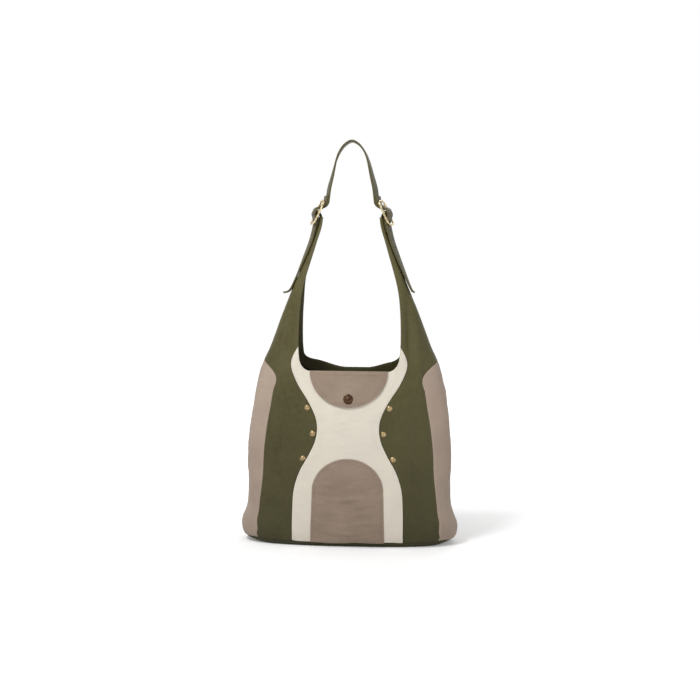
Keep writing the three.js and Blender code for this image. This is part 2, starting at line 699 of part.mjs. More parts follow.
function studCapGeometry() {
  return turned([[0, SEAT_GAP], ...dome(STUD_CAP_RADIUS, SEAT_GAP, STUD_CAP_RISE)], STUD_SIDES);
}

function waistStuds() {
  const pieces = [];
  for (const [side, sign] of SIDES) {
    studSpots(sign).forEach(({ name, spot }) => {
      const cap = piece(`${side}_${name}_stud_cap`, studCapGeometry(), ANTIQUE_BRASS);
      const post = piece(`${side}_${name}_stud_post`, postGeometry(POST_DISC_RADIUS), ANTIQUE_BRASS);
      pieces.push(standOnSkin(cap, spot), standOnSkin(post, spot));
    });
  }
  return pieces;
}

// Point in X and Z at a distance up the leaning buckle and a distance out of its plane.
function atBuckle(up, out) {
  return new THREE.Vector2(
    BUCKLE_X - up * Math.sin(BUCKLE_LEAN) + out * Math.cos(BUCKLE_LEAN),
    BUCKLE_Z + up * Math.cos(BUCKLE_LEAN) + out * Math.sin(BUCKLE_LEAN),
  );
}

// The path moved sideways, to the left of its direction for a positive distance.
function offsetPath(path, distance) {
  return path.map((point, i) => {
    const before = path[Math.max(i - 1, 0)];
    const after = path[Math.min(i + 1, path.length - 1)];
    const along = after.clone().sub(before).normalize();
    return point.clone().add(new THREE.Vector2(-along.y, along.x).multiplyScalar(distance));
  });
}

// A flat band along a path in X and Z, with its width along Y.
function band(path, width, wall) {
  const outline = [...offsetPath(path, wall / 2), ...offsetPath(path, -wall / 2).reverse()];
  return prismAlongY(new THREE.Shape(outline), -width / 2, width / 2);
}

// The tab's tail: beside the skin of the ear, and then curled away from it.
function tailPoints(tailEnd) {
  const tail = TAIL.map(({ down, off }) => new THREE.Vector2(sideAt(BUCKLE_Z - down) + off, BUCKLE_Z - down));
  const last = tail[tail.length - 1];
  const curl = tailEnd.map(({ out, down }) => new THREE.Vector2(last.x + out, last.y - down));
  return [...tail, ...curl];
}

// The middle line of a tab, from its lap down through the buckle to its free end.
function tabPath(tailEnd) {
  const rail = (FRAME_LENGTH + WINDOW_LENGTH) / 4;
  const overBar = BAR_RADIUS + CHAPE_WALL + STRAP_WALL / 2 + 2 * GAP;
  const swing = (FRAME_LENGTH / 2) * Math.sin(FRAME_SWING);
  const underRail = -(FRAME_WALL + STRAP_WALL) / 2 - swing - 3 * GAP;
  const pass = (sign) => TAB_PASS.map(({ up, climb }) => (
    atBuckle(sign * up * rail, THREE.MathUtils.lerp(underRail, overBar, climb))
  ));
  return new THREE.SplineCurve([
    ...LAP_TOP.map(({ inward, up }) => new THREE.Vector2(BUCKLE_X - inward, BUCKLE_Z + up)),
    ...pass(1),
    atBuckle(0, THREE.MathUtils.lerp(underRail, overBar, TAB_CROWN)),
    ...pass(-1).reverse(),
    ...tailPoints(tailEnd),
  ]);
}

function narrowTip(geometry, tip) {
  const position = geometry.getAttribute('position');
  for (let i = 0; i < position.count; i += 1) {
    const distance = Math.hypot(position.getX(i) - tip.x, position.getZ(i) - tip.y);
    const share = Math.min(distance / TIP_LENGTH, 1);
    const round = Math.sqrt(1 - (1 - share) ** 2);
    position.setY(i, position.getY(i) * THREE.MathUtils.lerp(TIP_BLUNTNESS, 1, round));
  }
  return geometry;
}

// The prong's pin with the frame upright, from the centre bar to past the end rail.
function prongPin(clearance, lift) {
  const radius = PRONG_RADIUS + clearance;
  const out = FRAME_WALL / 2 + GAP + PRONG_RADIUS;
  const end = FRAME_LENGTH / 2 + PRONG_OVERHANG + clearance;
  const pin = new THREE.CylinderGeometry(radius * PRONG_TIP_SHARE, radius, end - PRONG_ROOT, PRONG_SIDES);
  pin.rotateX(Math.PI / 2).translate(out, 0, (PRONG_ROOT + end) / 2);
  return toSolid(pin.rotateY(lift));
}

function prongSolid() {
  const inner = BAR_RADIUS + GAP;
  const shape = new THREE.Shape().absarc(0, 0, inner + PRONG_RING_WALL, 0, Math.PI * 2, false);
  shape.holes.push(new THREE.Path().absarc(0, 0, inner, 0, Math.PI * 2, true));
  const ring = prismAlongY(shape, -PRONG_RING_WIDTH / 2, PRONG_RING_WIDTH / 2);
  return prongPin(0, 0).add(toSolid(ring));
}

// The space that the pin sweeps through the strap.
function prongSlot() {
  const place = new THREE.Matrix4().makeRotationY(-BUCKLE_LEAN).setPosition(BUCKLE_X, 0, BUCKLE_Z);
  const pins = [];
  for (let i = 0; i <= PRONG_SLOT_STEPS; i += 1) {
    const lift = THREE.MathUtils.lerp(-FRAME_SWING, FRAME_SWING + PRONG_LIFT, i / PRONG_SLOT_STEPS);
    pins.push(prongPin(PRONG_SLOT_GAP, lift).transform(place.elements));
  }
  return pins.reduce((slot, pin) => slot.add(pin));
}

function tabSolid(curve) {
  const path = curve.getSpacedPoints(TAB_STEPS);
  let tab = toSolid(narrowTip(band(path, STRAP_WIDTH, STRAP_WALL), path[path.length - 1]));
  tab = tab.subtract(prongSlot());
  const length = curve.getLength();
  for (let i = 0; i < HOLE_COUNT; i += 1) {
    const share = 1 - (FIRST_HOLE_FROM_BAR + i * HOLE_PITCH) / length;
    const point = curve.getPointAt(share);
    const along = curve.getTangentAt(share);
    const drill = new THREE.CylinderGeometry(HOLE_RADIUS, HOLE_RADIUS, STRAP_WALL * 3, HOLE_SIDES);
    drill.rotateZ(Math.PI / 2).rotateY(Math.atan2(along.x, -along.y));
    tab = tab.subtract(toSolid(drill.translate(point.x, 0, point.y)));
  }
  return tab;
}

function mirroredPoint(point) {
  return new THREE.Vector2(-point.x, point.y);
}

function strapSolid() {
  const tab = tabPath(RIGHT_TAIL_END);
  const lap = [];
  for (let i = 0; i <= LAP_STEPS; i += 1) {
    lap.push(tab.getPointAt(((i / LAP_STEPS) * LAP_END_LENGTH) / tab.getLength()));
  }
  const lapLine = offsetPath(lap, -(STRAP_WALL + GAP)).reverse();
  const top = new THREE.Vector2(0, STRAP_TOP_Z);
  const side = STRAP_ARC.map(({ across, up }) => (
    new THREE.Vector2(BUCKLE_X * across, BUCKLE_Z + STRAP_RISE * up)
  ));
  const pastTop = mirroredPoint(side[side.length - 1]);
  const arc = new THREE.SplineCurve([lapLine[LAP_STEPS], ...side, top, pastTop]);
  const rising = arc.getSpacedPoints(STRAP_STEPS).filter((point) => point.x > STRAP_WALL / 2).slice(1);
  const right = [...lapLine, ...rising];
  const path = [...right, top, ...right.map(mirroredPoint).reverse()];
  return toSolid(band(path, STRAP_WIDTH, STRAP_WALL));
}

function chapeSolid() {
  const wallMiddle = (height, out) => new THREE.Vector2(sideAt(height) + out, height);
  const outerLeg = GAP + CHAPE_WALL / 2;
  const innerLeg = -SHELL_WALL - GAP - CHAPE_WALL / 2 - CHAPE_EASE;
  const loopRadius = BAR_RADIUS + GAP + CHAPE_WALL / 2;
  const path = [
    wallMiddle(CHAPE_OUTER_END, outerLeg),
    wallMiddle(NECK.height, outerLeg),
    wallMiddle(CHAPE_NECK_HEIGHT, outerLeg + 2 * CHAPE_EASE),
  ];
  for (let i = 0; i <= CHAPE_LOOP_STEPS; i += 1) {
    const share = i / CHAPE_LOOP_STEPS;
    const angle = THREE.MathUtils.lerp(-CHAPE_LOOP_DIP, Math.PI + CHAPE_LOOP_DIP, share);
    const across = BUCKLE_X + loopRadius * Math.cos(angle);
    path.push(new THREE.Vector2(across, BUCKLE_Z + loopRadius * Math.sin(angle)));
  }
  path.push(wallMiddle(NECK_CUT_HEIGHT, innerLeg));
  path.push(wallMiddle(NECK.height, innerLeg));
  path.push(wallMiddle(CHAPE_INNER_END, innerLeg));
  const half = PRONG_RING_WIDTH / 2 + GAP * 1.5;
  const slot = block([0, -half, NECK_CUT_HEIGHT + CHAPE_SLOT_LIFT], [REACH, half, HIGH]);
  return toSolid(band(path, CHAPE_WIDTH, CHAPE_WALL)).subtract(slot);
}

function roundedRectangle(target, width, height, corner) {
  const x = width / 2;
  const y = height / 2;
  target.moveTo(-x + corner, -y);
  target.lineTo(x - corner, -y);
  target.absarc(x - corner, -y + corner, corner, -Math.PI / 2, 0, false);
  target.lineTo(x, y - corner);
  target.absarc(x - corner, y - corner, corner, 0, Math.PI / 2, false);
  target.lineTo(-x + corner, y);
  target.absarc(-x + corner, y - corner, corner, Math.PI / 2, Math.PI, false);
  target.lineTo(-x, -y + corner);
  target.absarc(-x + corner, -y + corner, corner, Math.PI, Math.PI * 1.5, false);
  return target;
}

function frameSolid() {
  const shape = roundedRectangle(new THREE.Shape(), FRAME_WIDTH, FRAME_LENGTH, FRAME_CORNER);
  shape.holes.push(roundedRectangle(new THREE.Path(), WINDOW_WIDTH, WINDOW_LENGTH, WINDOW_CORNER));
  const plate = new THREE.ExtrudeGeometry(shape, {
    depth: FRAME_WALL - 2 * FRAME_BEVEL,
    bevelSize: FRAME_BEVEL,
    bevelOffset: -FRAME_BEVEL,
    bevelThickness: FRAME_BEVEL,
    bevelSegments: 1,
    curveSegments: 2,
  });
  plate.rotateX(Math.PI / 2).rotateZ(Math.PI / 2).translate(FRAME_BEVEL - FRAME_WALL / 2, 0, 0);
  const barLength = WINDOW_WIDTH + 2 * BAR_INTO_FRAME;
  const bar = new THREE.CylinderGeometry(BAR_RADIUS, BAR_RADIUS, barLength, STUD_SIDES);
  return toSolid(plate).add(toSolid(bar));
}

function buckleSide(side, tailEnd) {
  const group = new THREE.Group();
  group.add(clothPiece(`${side}_chape`, chapeSolid(), OLIVE_STRAP));
  group.add(clothPiece(`${side}_strap_tab`, tabSolid(tabPath(tailEnd)), OLIVE_STRAP));
  const upright = new THREE.Group();
  upright.position.set(BUCKLE_X, 0, BUCKLE_Z);
  upright.rotation.z = -TURN;
  const leaning = new THREE.Group();
  leaning.rotation.y = -BUCKLE_LEAN;
  leaning.add(piece(`${side}_buckle_frame`, frameSolid(), PALE_BRASS));
  leaning.add(piece(`${side}_buckle_prong`, prongSolid(), PALE_BRASS));
  upright.add(leaning);
  group.add(upright);
  group.scale.x = side === 'left' ? -1 : 1;
  return group;
}

const bag = new THREE.Group();
bag.add(...shellPanels());
bag.add(...basePieces());
bag.add(...innerPieces());
bag.add(...flapPieces());
bag.add(...waistStuds());
bag.add(buckleSide('left', LEFT_TAIL_END));
bag.add(buckleSide('right', RIGHT_TAIL_END));
bag.add(clothPiece('shoulder_strap', strapSolid(), OLIVE_STRAP));

export default bag;
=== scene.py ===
import math

import bmesh
import bpy
import numpy as np
from mathutils import Matrix, Quaternion, Vector
from mathutils.bvhtree import BVHTree


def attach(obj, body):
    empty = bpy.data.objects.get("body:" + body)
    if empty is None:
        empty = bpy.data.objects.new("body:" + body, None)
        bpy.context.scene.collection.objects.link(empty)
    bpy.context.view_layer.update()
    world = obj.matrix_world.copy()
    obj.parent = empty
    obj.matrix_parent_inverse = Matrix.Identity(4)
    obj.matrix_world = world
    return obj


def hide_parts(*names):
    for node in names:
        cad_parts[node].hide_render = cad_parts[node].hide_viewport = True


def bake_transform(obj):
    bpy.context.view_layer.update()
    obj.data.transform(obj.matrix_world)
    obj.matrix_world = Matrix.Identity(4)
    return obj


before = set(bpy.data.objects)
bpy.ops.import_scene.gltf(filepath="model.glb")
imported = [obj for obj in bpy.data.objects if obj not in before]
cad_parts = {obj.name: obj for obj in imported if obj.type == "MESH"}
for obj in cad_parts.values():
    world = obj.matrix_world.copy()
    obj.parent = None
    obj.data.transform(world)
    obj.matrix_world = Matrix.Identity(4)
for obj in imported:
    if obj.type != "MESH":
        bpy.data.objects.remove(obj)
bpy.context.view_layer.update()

bl_info = {
    "name": "Hobo Bag",
    "version": (1, 0, 0),
    "blender": (4, 5, 0),
    "location": "View3D > Sidebar > Hobo Bag",
    "description": "Builds a patchwork hobo bag with a press-stud flap and a buckled shoulder strap",
    "category": "Object",
}

MM = 0.001

# Sections of the body in mm: height, half width, half depth and squareness (2 is an ellipse).
SECTIONS = (
    (-6, 152, 44, 3), (0, 172, 56, 3), (9, 191, 63, 3), (28, 200, 67.5, 3), (70, 190.5, 67.5, 3),
    (183, 188, 64.5, 3), (250, 179.5, 60, 3), (316, 167, 52.5, 3), (361, 148, 48, 3), (427, 123, 38, 3.6),
    (505, 91.5, 26, 5), (549, 74, 20, 8), (581, 63, 17, 10), (600, 60.3, 16.8, 12), (620, 58, 16.5, 12),
)
# Half width of the centre panel at each height.
HOURGLASS = (
    (-20, 100.5), (70, 100), (104, 97.5), (137, 87.5), (169, 70), (191, 60), (213, 56), (234, 58.5),
    (262, 71.5), (299, 94.5), (332, 105.5), (350, 100), (364, 91), (376, 80),
)
# Inner edge of the ears above the mouth's corner: height, and distance from the middle.
EAR_EDGE = (
    (345, 91), (365, 92.5), (400, 92.5), (432, 91), (472, 86.8), (505, 80), (549, 68), (581, 57.5),
    (600, 55), (640, 52),
)
HEM_HEIGHT = 319
HEM_HALF_WIDTH = 70
CORNER_HEIGHT = 26
CORNER_WIDTH = EAR_EDGE[0][1] - HEM_HALF_WIDTH
# Where the centre panel's tips end, and from where the inner edge of a side panel is the mouth's.
TIP_HEIGHT = 362.5
TUCK_TOP = 352
NECK_END = 597.5
BASE_SEAM = 11
# The cloth begins to follow its waved lower edge at FOOT_TOP, and follows it wholly FOOT_FADE lower.
FOOT_TOP, FOOT_FADE = 40, 30
GUSSET_LEG = ((-20, 43), (9, 46), (28, 51), (50, 50.2), (70, 49), (140, 50.5), (250, 47.5), (285, 45))
GUSSET_SPRING, GUSSET_RISE, GUSSET_SQUARENESS = 285, 51, 2.6
ARCH_FOOT, ARCH_SPRING_WIDTH, ARCH_SPRING, ARCH_RISE = 67.5, 64.5, 103, 59
FLAP_HALF_WIDTH, FLAP_DROP, FLAP_STUD_HEIGHT = 70.5, 65, 269
# How far a side panel goes under the centre panel, and the gap at a gusset's seam: below zero they overlap.
TUCK = 3.0
SEAM_GAP = -0.12

# The hem facing: its depth below the mouth's edge, and its ends in the ears.
FACING_DEPTH, FACING_TOP = 25, 555
# The lining: its foot, its floor, the heights of its upper edge and how far that edge lies from the mouth's.
LINING_FOOT, LINING_FLOOR, LINING_LOW, LINING_TOP, LINING_MARGIN = 7.2, 6.6, 302, 440, 17
POCKET_HALF_WIDTH, POCKET_LOW, POCKET_HIGH = 68, 200, 300
# How far inside the outer cloth the facing, the slip pocket's back and the lining lie.
FACING_GAP, POCKET_GAP, LINING_GAP = 1.1, 1.9, 4.4

# Distances of the rows of stitches from their edges.
CREAM_INSET, ARCH_INSET, EAR_INSET, GUSSET_INSET, HEM_INSET, STRAP_INSET = 2.6, 4.0, 3.4, 4.4, 3.4, 3.2
FLAP_INSETS = (2.2, 6.0)
# Half the width and half the height of a stitch, and how far it stands over the cloth.
STITCH_HALF_WIDTH, STITCH_HALF_HEIGHT, STITCH_RAISE = 0.34, 0.26, 0.05

BUCKLE_X, BUCKLE_Z = 63, 606
BUCKLE_LEAN = math.radians(25)
FRAME_HALF_WIDTH, FRAME_HALF_LENGTH, BAR_RADIUS = 17.5, 23.25, 1.75
STRAP_WIDTH, STRAP_WALL, STRAP_RISE = 28, 3.2, 130
# A tab's end narrows over TIP_LENGTH to this share of its width.
TIP_LENGTH, TIP_SHARE = 13, 0.3
# The holes of a tab: how many, their radius, the first one's distance from the end, and their pitch.
HOLES, HOLE_RADIUS, FIRST_HOLE, HOLE_PITCH = 8, 2, 25, 16.5
CHAPE_WIDTH, CHAPE_WALL, CHAPE_SLOT, CHAPE_SLOT_Z = 21, 2.0, 5.4, 609
# Turn of the ears and the strap about their own upright lines, and the heights between which it grows and fades.
TURN = math.radians(15)
TURN_START, TURN_FULL, TURN_HOLD = 440, 560, 645

# Where rows of vertices lie beside an edge, in mm, so that a turned edge and its stitch groove show.
EDGE_ROWS = (0, 0.25, 0.6, 1.1, 1.8, 2.6, 3.4, 4.4, 6.0)

# Folds of the cloth: start and end in X and Z, half width and height, all in mm. Below zero is a hollow.
FRONT_FOLDS = (
    ((104, 480), (114, 280), 7, -4.4), ((114, 300), (130, 130), 9, -3.6), ((118, 420), (132, 230), 9, 3.6),
    ((-104, 465), (-116, 310), 8, -4.0), ((-126, 340), (-134, 180), 11, 3.4), ((-106, 250), (-136, 110), 8, -3.2),
    ((91, 342), (77, 300), 2.6, 1.1), ((84, 345), (70, 300), 3.0, -0.8), ((98, 322), (84, 286), 2.6, -0.6),
    ((-93, 342), (-86, 300), 4.5, -0.8), ((-60, 300), (-20, 262), 7, 0.5), ((30, 236), (52, 170), 9, 1.0),
    ((-50, 205), (10, 196), 8, -1.0), ((-150, 60), (-118, 48), 8, -0.9), ((150, 66), (120, 44), 9, -0.9),
    ((-30, 40), (40, 30), 10, 0.8), ((-96, 60), (-88, 20), 6, -0.7), ((92, 84), (98, 24), 6, -0.6),
)
ARCH_FOLDS = (
    ((-60, 118), (-8, 108), 3.2, 1.5), ((-12, 106), (50, 112), 3.0, 1.2), ((-58, 96), (-22, 92), 3.0, -1.3),
    ((-30, 84), (34, 90), 3.4, 1.5), ((-62, 70), (-6, 62), 3.6, 1.4), ((0, 66), (56, 74), 3.2, -1.3),
    ((-50, 50), (10, 44), 4.0, -1.2), ((-6, 40), (60, 48), 3.6, 1.4), ((-40, 28), (20, 24), 4.0, 1.4),
    ((20, 132), (48, 120), 3.0, 0.9), ((-44, 140), (-16, 132), 3.0, -0.9),
)
FLAP_FOLDS = (
    ((22, 312), (48, 276), 3.0, 1.1), ((36, 314), (60, 288), 3.0, -0.8), ((-52, 306), (-28, 284), 3.6, 0.9),
    ((-24, 300), (-8, 276), 3.4, -0.8), ((10, 300), (18, 272), 3.0, 0.8), ((-60, 296), (-40, 268), 3.0, -0.6),
    ((24, 268), (44, 264), 3.0, 0.6),
)


def linear(code):
    """A colour written as sRGB hex, as the linear RGBA that shaders take."""
    parts = [int(code[i:i + 2], 16) / 255 for i in (1, 3, 5)]
    return [c / 12.92 if c <= 0.04045 else ((c + 0.055) / 1.055) ** 2.4 for c in parts] + [1.0]


# Shape of the cloth body


def smooth_table(table):
    """A smooth curve through rows of height and values."""
    rows = np.array(table, float)
    knots, values = rows[:, 0], rows[:, 1:]
    last = len(knots) - 1

    def at(height):
        h = np.clip(np.asarray(height, float), knots[0], knots[-1])
        i = np.clip(np.searchsorted(knots, h, side="right"), 1, last)
        low, high = knots[i - 1], knots[i]
        before = np.where(i >= 2, i - 2, i)
        after = np.where(i < last, np.minimum(i + 1, last), i - 1)
        weight_before = (high - low) / 2 / (low - knots[before])
        weight_after = (high - low) / 2 / (knots[after] - high)
        p = (h - low) / (high - low)
        shares = (
            weight_before * (-p ** 3 + 2 * p ** 2 - p),
            (1 + weight_before) * p ** 3 - (1.5 + 2 * weight_before) * p ** 2 + (weight_before - 0.5) * p + 1,
            (1.5 + weight_after) * p ** 2 - (1 + weight_after) * p ** 3 + 0.5 * p,
            weight_after * (p ** 3 - p ** 2),
        )
        picks = (before, i - 1, i, after)
        return sum(share[..., None] * values[pick] for share, pick in zip(shares, picks))

    return at


section_at = smooth_table(SECTIONS)
hourglass_table = smooth_table(HOURGLASS)
ear_table = smooth_table(EAR_EDGE)
gusset_table = smooth_table(GUSSET_LEG)


def hourglass(height):
    """Half width of the centre panel."""
    return hourglass_table(height)[..., 0]


def mouth_edge(height, grow=0):
    """Half width of the mouth's opening, grown by a margin, which is zero below the hem."""
    h = np.asarray(height, float)
    top = HEM_HEIGHT + CORNER_HEIGHT
    up = np.clip((top - h) / (CORNER_HEIGHT + grow), 0, 1)
    corner = HEM_HALF_WIDTH + (CORNER_WIDTH + grow) * np.sqrt(1 - up ** 2)
    ear = ear_table(np.maximum(h, top))[..., 0] + grow
    return np.where(h < HEM_HEIGHT - grow, 0, np.where(h < top, corner, ear))


def gusset_edge(height):
    """Half depth of the side panel's arch."""
    up = np.clip((np.asarray(height, float) - GUSSET_SPRING) / GUSSET_RISE, 0, 1)
    return gusset_table(height)[..., 0] * (1 - up ** GUSSET_SQUARENESS) ** (1 / GUSSET_SQUARENESS)


def skin(angle, height):
    """Points of the body at angles round the section: 0 is +X and -90 degrees the front."""
    half_width, half_depth, power = np.moveaxis(section_at(height), -1, 0)
    across, along = np.cos(angle), np.sin(angle)
    reach = (np.abs(across) ** power + np.abs(along) ** power) ** (-1 / power)
    return np.stack([half_width * across * reach, half_depth * along * reach, height + 0 * reach], -1)


def angle_at_x(x, height):
    """The front's angle, from -90 to 0 degrees, at a distance to the right."""
    half_width, _, power = np.moveaxis(section_at(height), -1, 0)
    across = np.clip(np.asarray(x, float) / half_width, 0, 1)
    return np.arctan2(-(1 - across ** power) ** (1 / power), across)


def angle_at_y(y, height):
    """The front's angle at a distance forward of the middle."""
    _, half_depth, power = np.moveaxis(section_at(height), -1, 0)
    along = np.clip(np.asarray(y, float) / half_depth, 0, 1)
    return np.arctan2(-along, (1 - along ** power) ** (1 / power))


def eased(value, start, end):
    """A smooth climb from 0 to 1 between two values."""
    share = np.clip((value - start) / (end - start), 0, 1)
    return share * share * (3 - 2 * share)


def bell(value, height, width, at=0):
    """A rounded rise that is highest at one value."""
    return height * np.exp(-((value - at) / width) ** 2)


def on_front(x, z):
    """Points of the front at distances to the right, or to the left below zero, and at heights."""
    points = skin(angle_at_x(np.abs(x), z), z)
    points[..., 0] *= np.sign(x)
    return points


def noise(points, size, seed):
    """Smooth noise from -1 to 1 with lumps of the given size in mm."""
    values = np.random.RandomState(seed).uniform(-1, 1, (32, 32, 32))
    grid = points / size + 1000
    cell = np.floor(grid).astype(int)
    f = grid - cell
    f = f * f * (3 - 2 * f)
    total = 0
    for corner in np.ndindex(2, 2, 2):
        share = np.prod([f[..., k] if corner[k] else 1 - f[..., k] for k in range(3)], axis=0)
        index = (cell + np.array(corner)) % 32
        total = total + share * values[index[..., 0], index[..., 1], index[..., 2]]
    return total


def fold_height(points, folds):
    """How far the folds stand out at points, fading towards each fold's ends."""
    total = np.zeros(points.shape[:-1])
    flat = points[..., [0, 2]]
    for start, end, width, height in folds:
        first, way = np.array(start, float), np.array(end, float) - np.array(start, float)
        along = ((flat - first) @ way) / (way @ way)
        near = first + np.clip(along, 0, 1)[..., None] * way
        distance = np.linalg.norm(flat - near, axis=-1)
        fade = np.sin(np.pi * np.clip(along, 0.06, 0.94))
        total += fade * bell(distance, height, width)
    return total


def sag(points):
    """How far the whole body stands out or in, in mm: broad billows, long folds and slack at the foot."""
    front = points[..., 1] < 0
    x, z = points[..., 0], points[..., 2]
    billow = 1.3 * noise(points, 95, 3) + 0.55 * noise(points, 38, 4)
    folds = np.where(front, fold_height(points, FRONT_FOLDS), 0.7 * fold_height(points, FRONT_FOLDS[3:9]))
    folds = folds * np.clip(np.abs(points[..., 1]) / 16, 0, 1) ** 2
    slump = bell(z, 1, 18, 26) * (0.9 * np.sin(x / 21 + 1.1) + 0.6 * np.sin(x / 9.5 + points[..., 1] / 30))
    calm = np.clip((600 - z) / 120, 0.12, 1) * np.clip(z / 14, 0, 1)
    return (billow + folds + slump) * calm


def hem_sway(points):
    """How far the back hem hangs higher towards the ears, and most at the left, in mm."""
    x, y, z = np.moveaxis(points, -1, 0)
    rise = (15 * eased(-x, 10, 80) + 11 * eased(x, 28, 82)) * np.clip((122 - np.abs(x)) / 30, 0, 1)
    near = bell(np.minimum(z, HEM_HEIGHT), 1, 28, HEM_HEIGHT) * np.clip((350 - z) / 31, 0, 1)
    return np.where(y > 0, rise * near, 0)


def turned(points):
    """The ears and straps turned about their own upright lines."""
    x, y, z = np.moveaxis(points, -1, 0)
    angle = TURN * eased(z, TURN_START, TURN_FULL) * (1 - eased(z, TURN_HOLD, BUCKLE_Z + STRAP_RISE))
    out = np.abs(x) - BUCKLE_X
    across = BUCKLE_X + out * np.cos(angle) + y * np.sin(angle)
    return np.stack([np.sign(x) * across, y * np.cos(angle) - out * np.sin(angle), z], -1)


def unit(vectors):
    """The vectors made 1 long, and left alone where they have no length."""
    length = np.linalg.norm(vectors, axis=-1, keepdims=True)
    return vectors / np.where(length < 1e-9, 1, length)


def spaced(width, count):
    """Positions from 0 to each width, with fine rows beside both edges."""
    width = np.asarray(width, float)[..., None]
    rim = np.minimum(1, width / (2.6 * EDGE_ROWS[-1]))
    low = np.array(EDGE_ROWS) * rim
    middle = np.arange(1, count + 1) / (count + 1)
    inner = low[..., -1:] + middle * (width - 2 * low[..., -1:])
    return np.concatenate([low + 0 * width, inner, width - low[..., ::-1]], -1)


def outward(points):
    """Outward directions of the body at points on it."""
    x, y, z = np.moveaxis(points, -1, 0)

    def level(height):
        half_width, half_depth, power = np.moveaxis(section_at(height), -1, 0)
        return np.abs(x / half_width) ** power + np.abs(y / half_depth) ** power

    half_width, half_depth, power = np.moveaxis(section_at(z), -1, 0)
    slope_x = power * np.abs(x / half_width) ** (power - 1) / half_width * np.sign(x)
    slope_y = power * np.abs(y / half_depth) ** (power - 1) / half_depth * np.sign(y)
    return unit(np.stack([slope_x, slope_y, level(z + 0.5) - level(z - 0.5)], -1))


def lengths(points, axis):
    """Distance of each point from the start of its row, its column or its path."""
    run = np.cumsum(np.linalg.norm(np.diff(points, axis=axis), axis=-1), axis=axis)
    pad = [(0, 0)] * run.ndim
    pad[axis] = (1, 0)
    return np.pad(run, pad)


def sampled(spots, run, values):
    """The columns of values, read at spots along their run."""
    return np.stack([np.interp(spots, run, column) for column in values.T], -1)


def edge_distance(points, top=False):
    """Distance to the nearer side edge, or to the top edge where that counts and is nearer."""
    across, up = lengths(points, 1), lengths(points, 0)
    near = np.minimum(across, across[:, -1:] - across)
    return np.minimum(near, up[-1:] - up) if top else near


def rolled(distance, radius, depth):
    """How far an edge turns down over a radius."""
    share = 1 - np.clip(distance / radius, 0, 1)
    return depth * (1 - np.sqrt(1 - share ** 2))


def groove(distance, at, depth, width=0.9):
    """How deep a row of stitches pulls the cloth in, at its distance from the edge."""
    return bell(distance, depth, width, at)


def raised(points, lift):
    """The points moved outward by their sag and a lift, and the ears turned."""
    moved = points + outward(points) * (lift + sag(points))[..., None]
    moved[..., 2] += hem_sway(points)
    return turned(moved)


# Meshes


def meshed(bm, name):
    """A mesh from a bmesh, which is freed."""
    mesh = bpy.data.meshes.new(name)
    bm.to_mesh(mesh)
    bm.free()
    return mesh


def grid_mesh(name, points, flip=False, close=False, wear=None, uv=None):
    """A bmesh grid whose vertices go to rows of points in mm, with a UV map and a wear attribute."""
    rows, columns = points.shape[:2]
    bm = bmesh.new()
    bmesh.ops.create_grid(bm, x_segments=columns - 1, y_segments=rows - 1, size=0.5)
    if flip:
        bmesh.ops.reverse_faces(bm, faces=bm.faces[:])
    mesh = meshed(bm, name)
    flat = np.zeros(len(mesh.vertices) * 3)
    mesh.vertices.foreach_get("co", flat)
    flat = flat.reshape(-1, 3)
    column = np.rint((flat[:, 0] + 0.5) * (columns - 1)).astype(int)
    row = np.rint((flat[:, 1] + 0.5) * (rows - 1)).astype(int)
    mesh.vertices.foreach_set("co", (points[row, column] * MM).ravel())
    if uv is None:
        across = lengths(points, 1)
        uv = np.stack([across - across[:, -1:] / 2, lengths(points, 0)], -1)
    corner = np.zeros(len(mesh.loops), int)
    mesh.loops.foreach_get("vertex_index", corner)
    layer = mesh.uv_layers.new(name="cloth")
    layer.data.foreach_set("uv", (uv[row, column][corner] * MM).ravel())
    worn = mesh.attributes.new("wear", "FLOAT", "POINT")
    amount = np.zeros(len(flat)) if wear is None else wear[row, column]
    worn.data.foreach_set("value", np.clip(amount, 0, 1))
    if close:
        bm = bmesh.new()
        bm.from_mesh(mesh)
        bmesh.ops.remove_doubles(bm, verts=bm.verts[:], dist=1e-6)
        bmesh.ops.holes_fill(bm, edges=bm.edges[:], sides=0)
        bmesh.ops.recalc_face_normals(bm, faces=bm.faces[:])
        bm.to_mesh(mesh)
        bm.free()
    mesh.validate()
    return mesh


def placed(name, data):
    """A new object in the scene."""
    made = bpy.data.objects.new(name, data)
    bpy.context.scene.collection.objects.link(made)
    return made


def new_piece(name, mesh, finish, body, replaces=()):
    """An object of the scene with its material, its body and the nodes that it stands for."""
    piece = placed(name, mesh)
    mesh.materials.append(finish)
    mesh.shade_smooth()
    if body:
        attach(piece, body)
    if replaces:
        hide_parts(*replaces)
    return piece


def thicken(piece, wall):
    """A cloth wall in metres, grown inward from the outer face."""
    modifier = piece.modifiers.new("cloth wall", "SOLIDIFY")
    modifier.thickness = wall
    modifier.offset = -1
    modifier.use_even_offset = False


def sewn(node, points, key, wall, flip=False, wear=None, close=False):
    """A cloth piece of the bag, which stands for a node."""
    mesh = grid_mesh(node, points, flip, close, wear)
    piece = new_piece(f"{node}_cloth", mesh, finish(key), "bag", [node])
    thicken(piece, wall)


def mirrored(points, side, face):
    """The front right shape on the given side and face, and whether its faces turn over."""
    return points * np.array([side, -face, 1.0]), side * -face < 0


FACES = (("front", -1), ("back", 1))
SIDES = (("left", -1), ("right", 1))


def foot_line(x):
    """Height of the cloth's lower edge, which waves a little over the base."""
    x = np.asarray(x, float)
    return BASE_SEAM + 0.9 * np.sin(x / 26 + 0.6) + 0.5 * np.sin(x / 11) - bell(x, 1.6, 75)


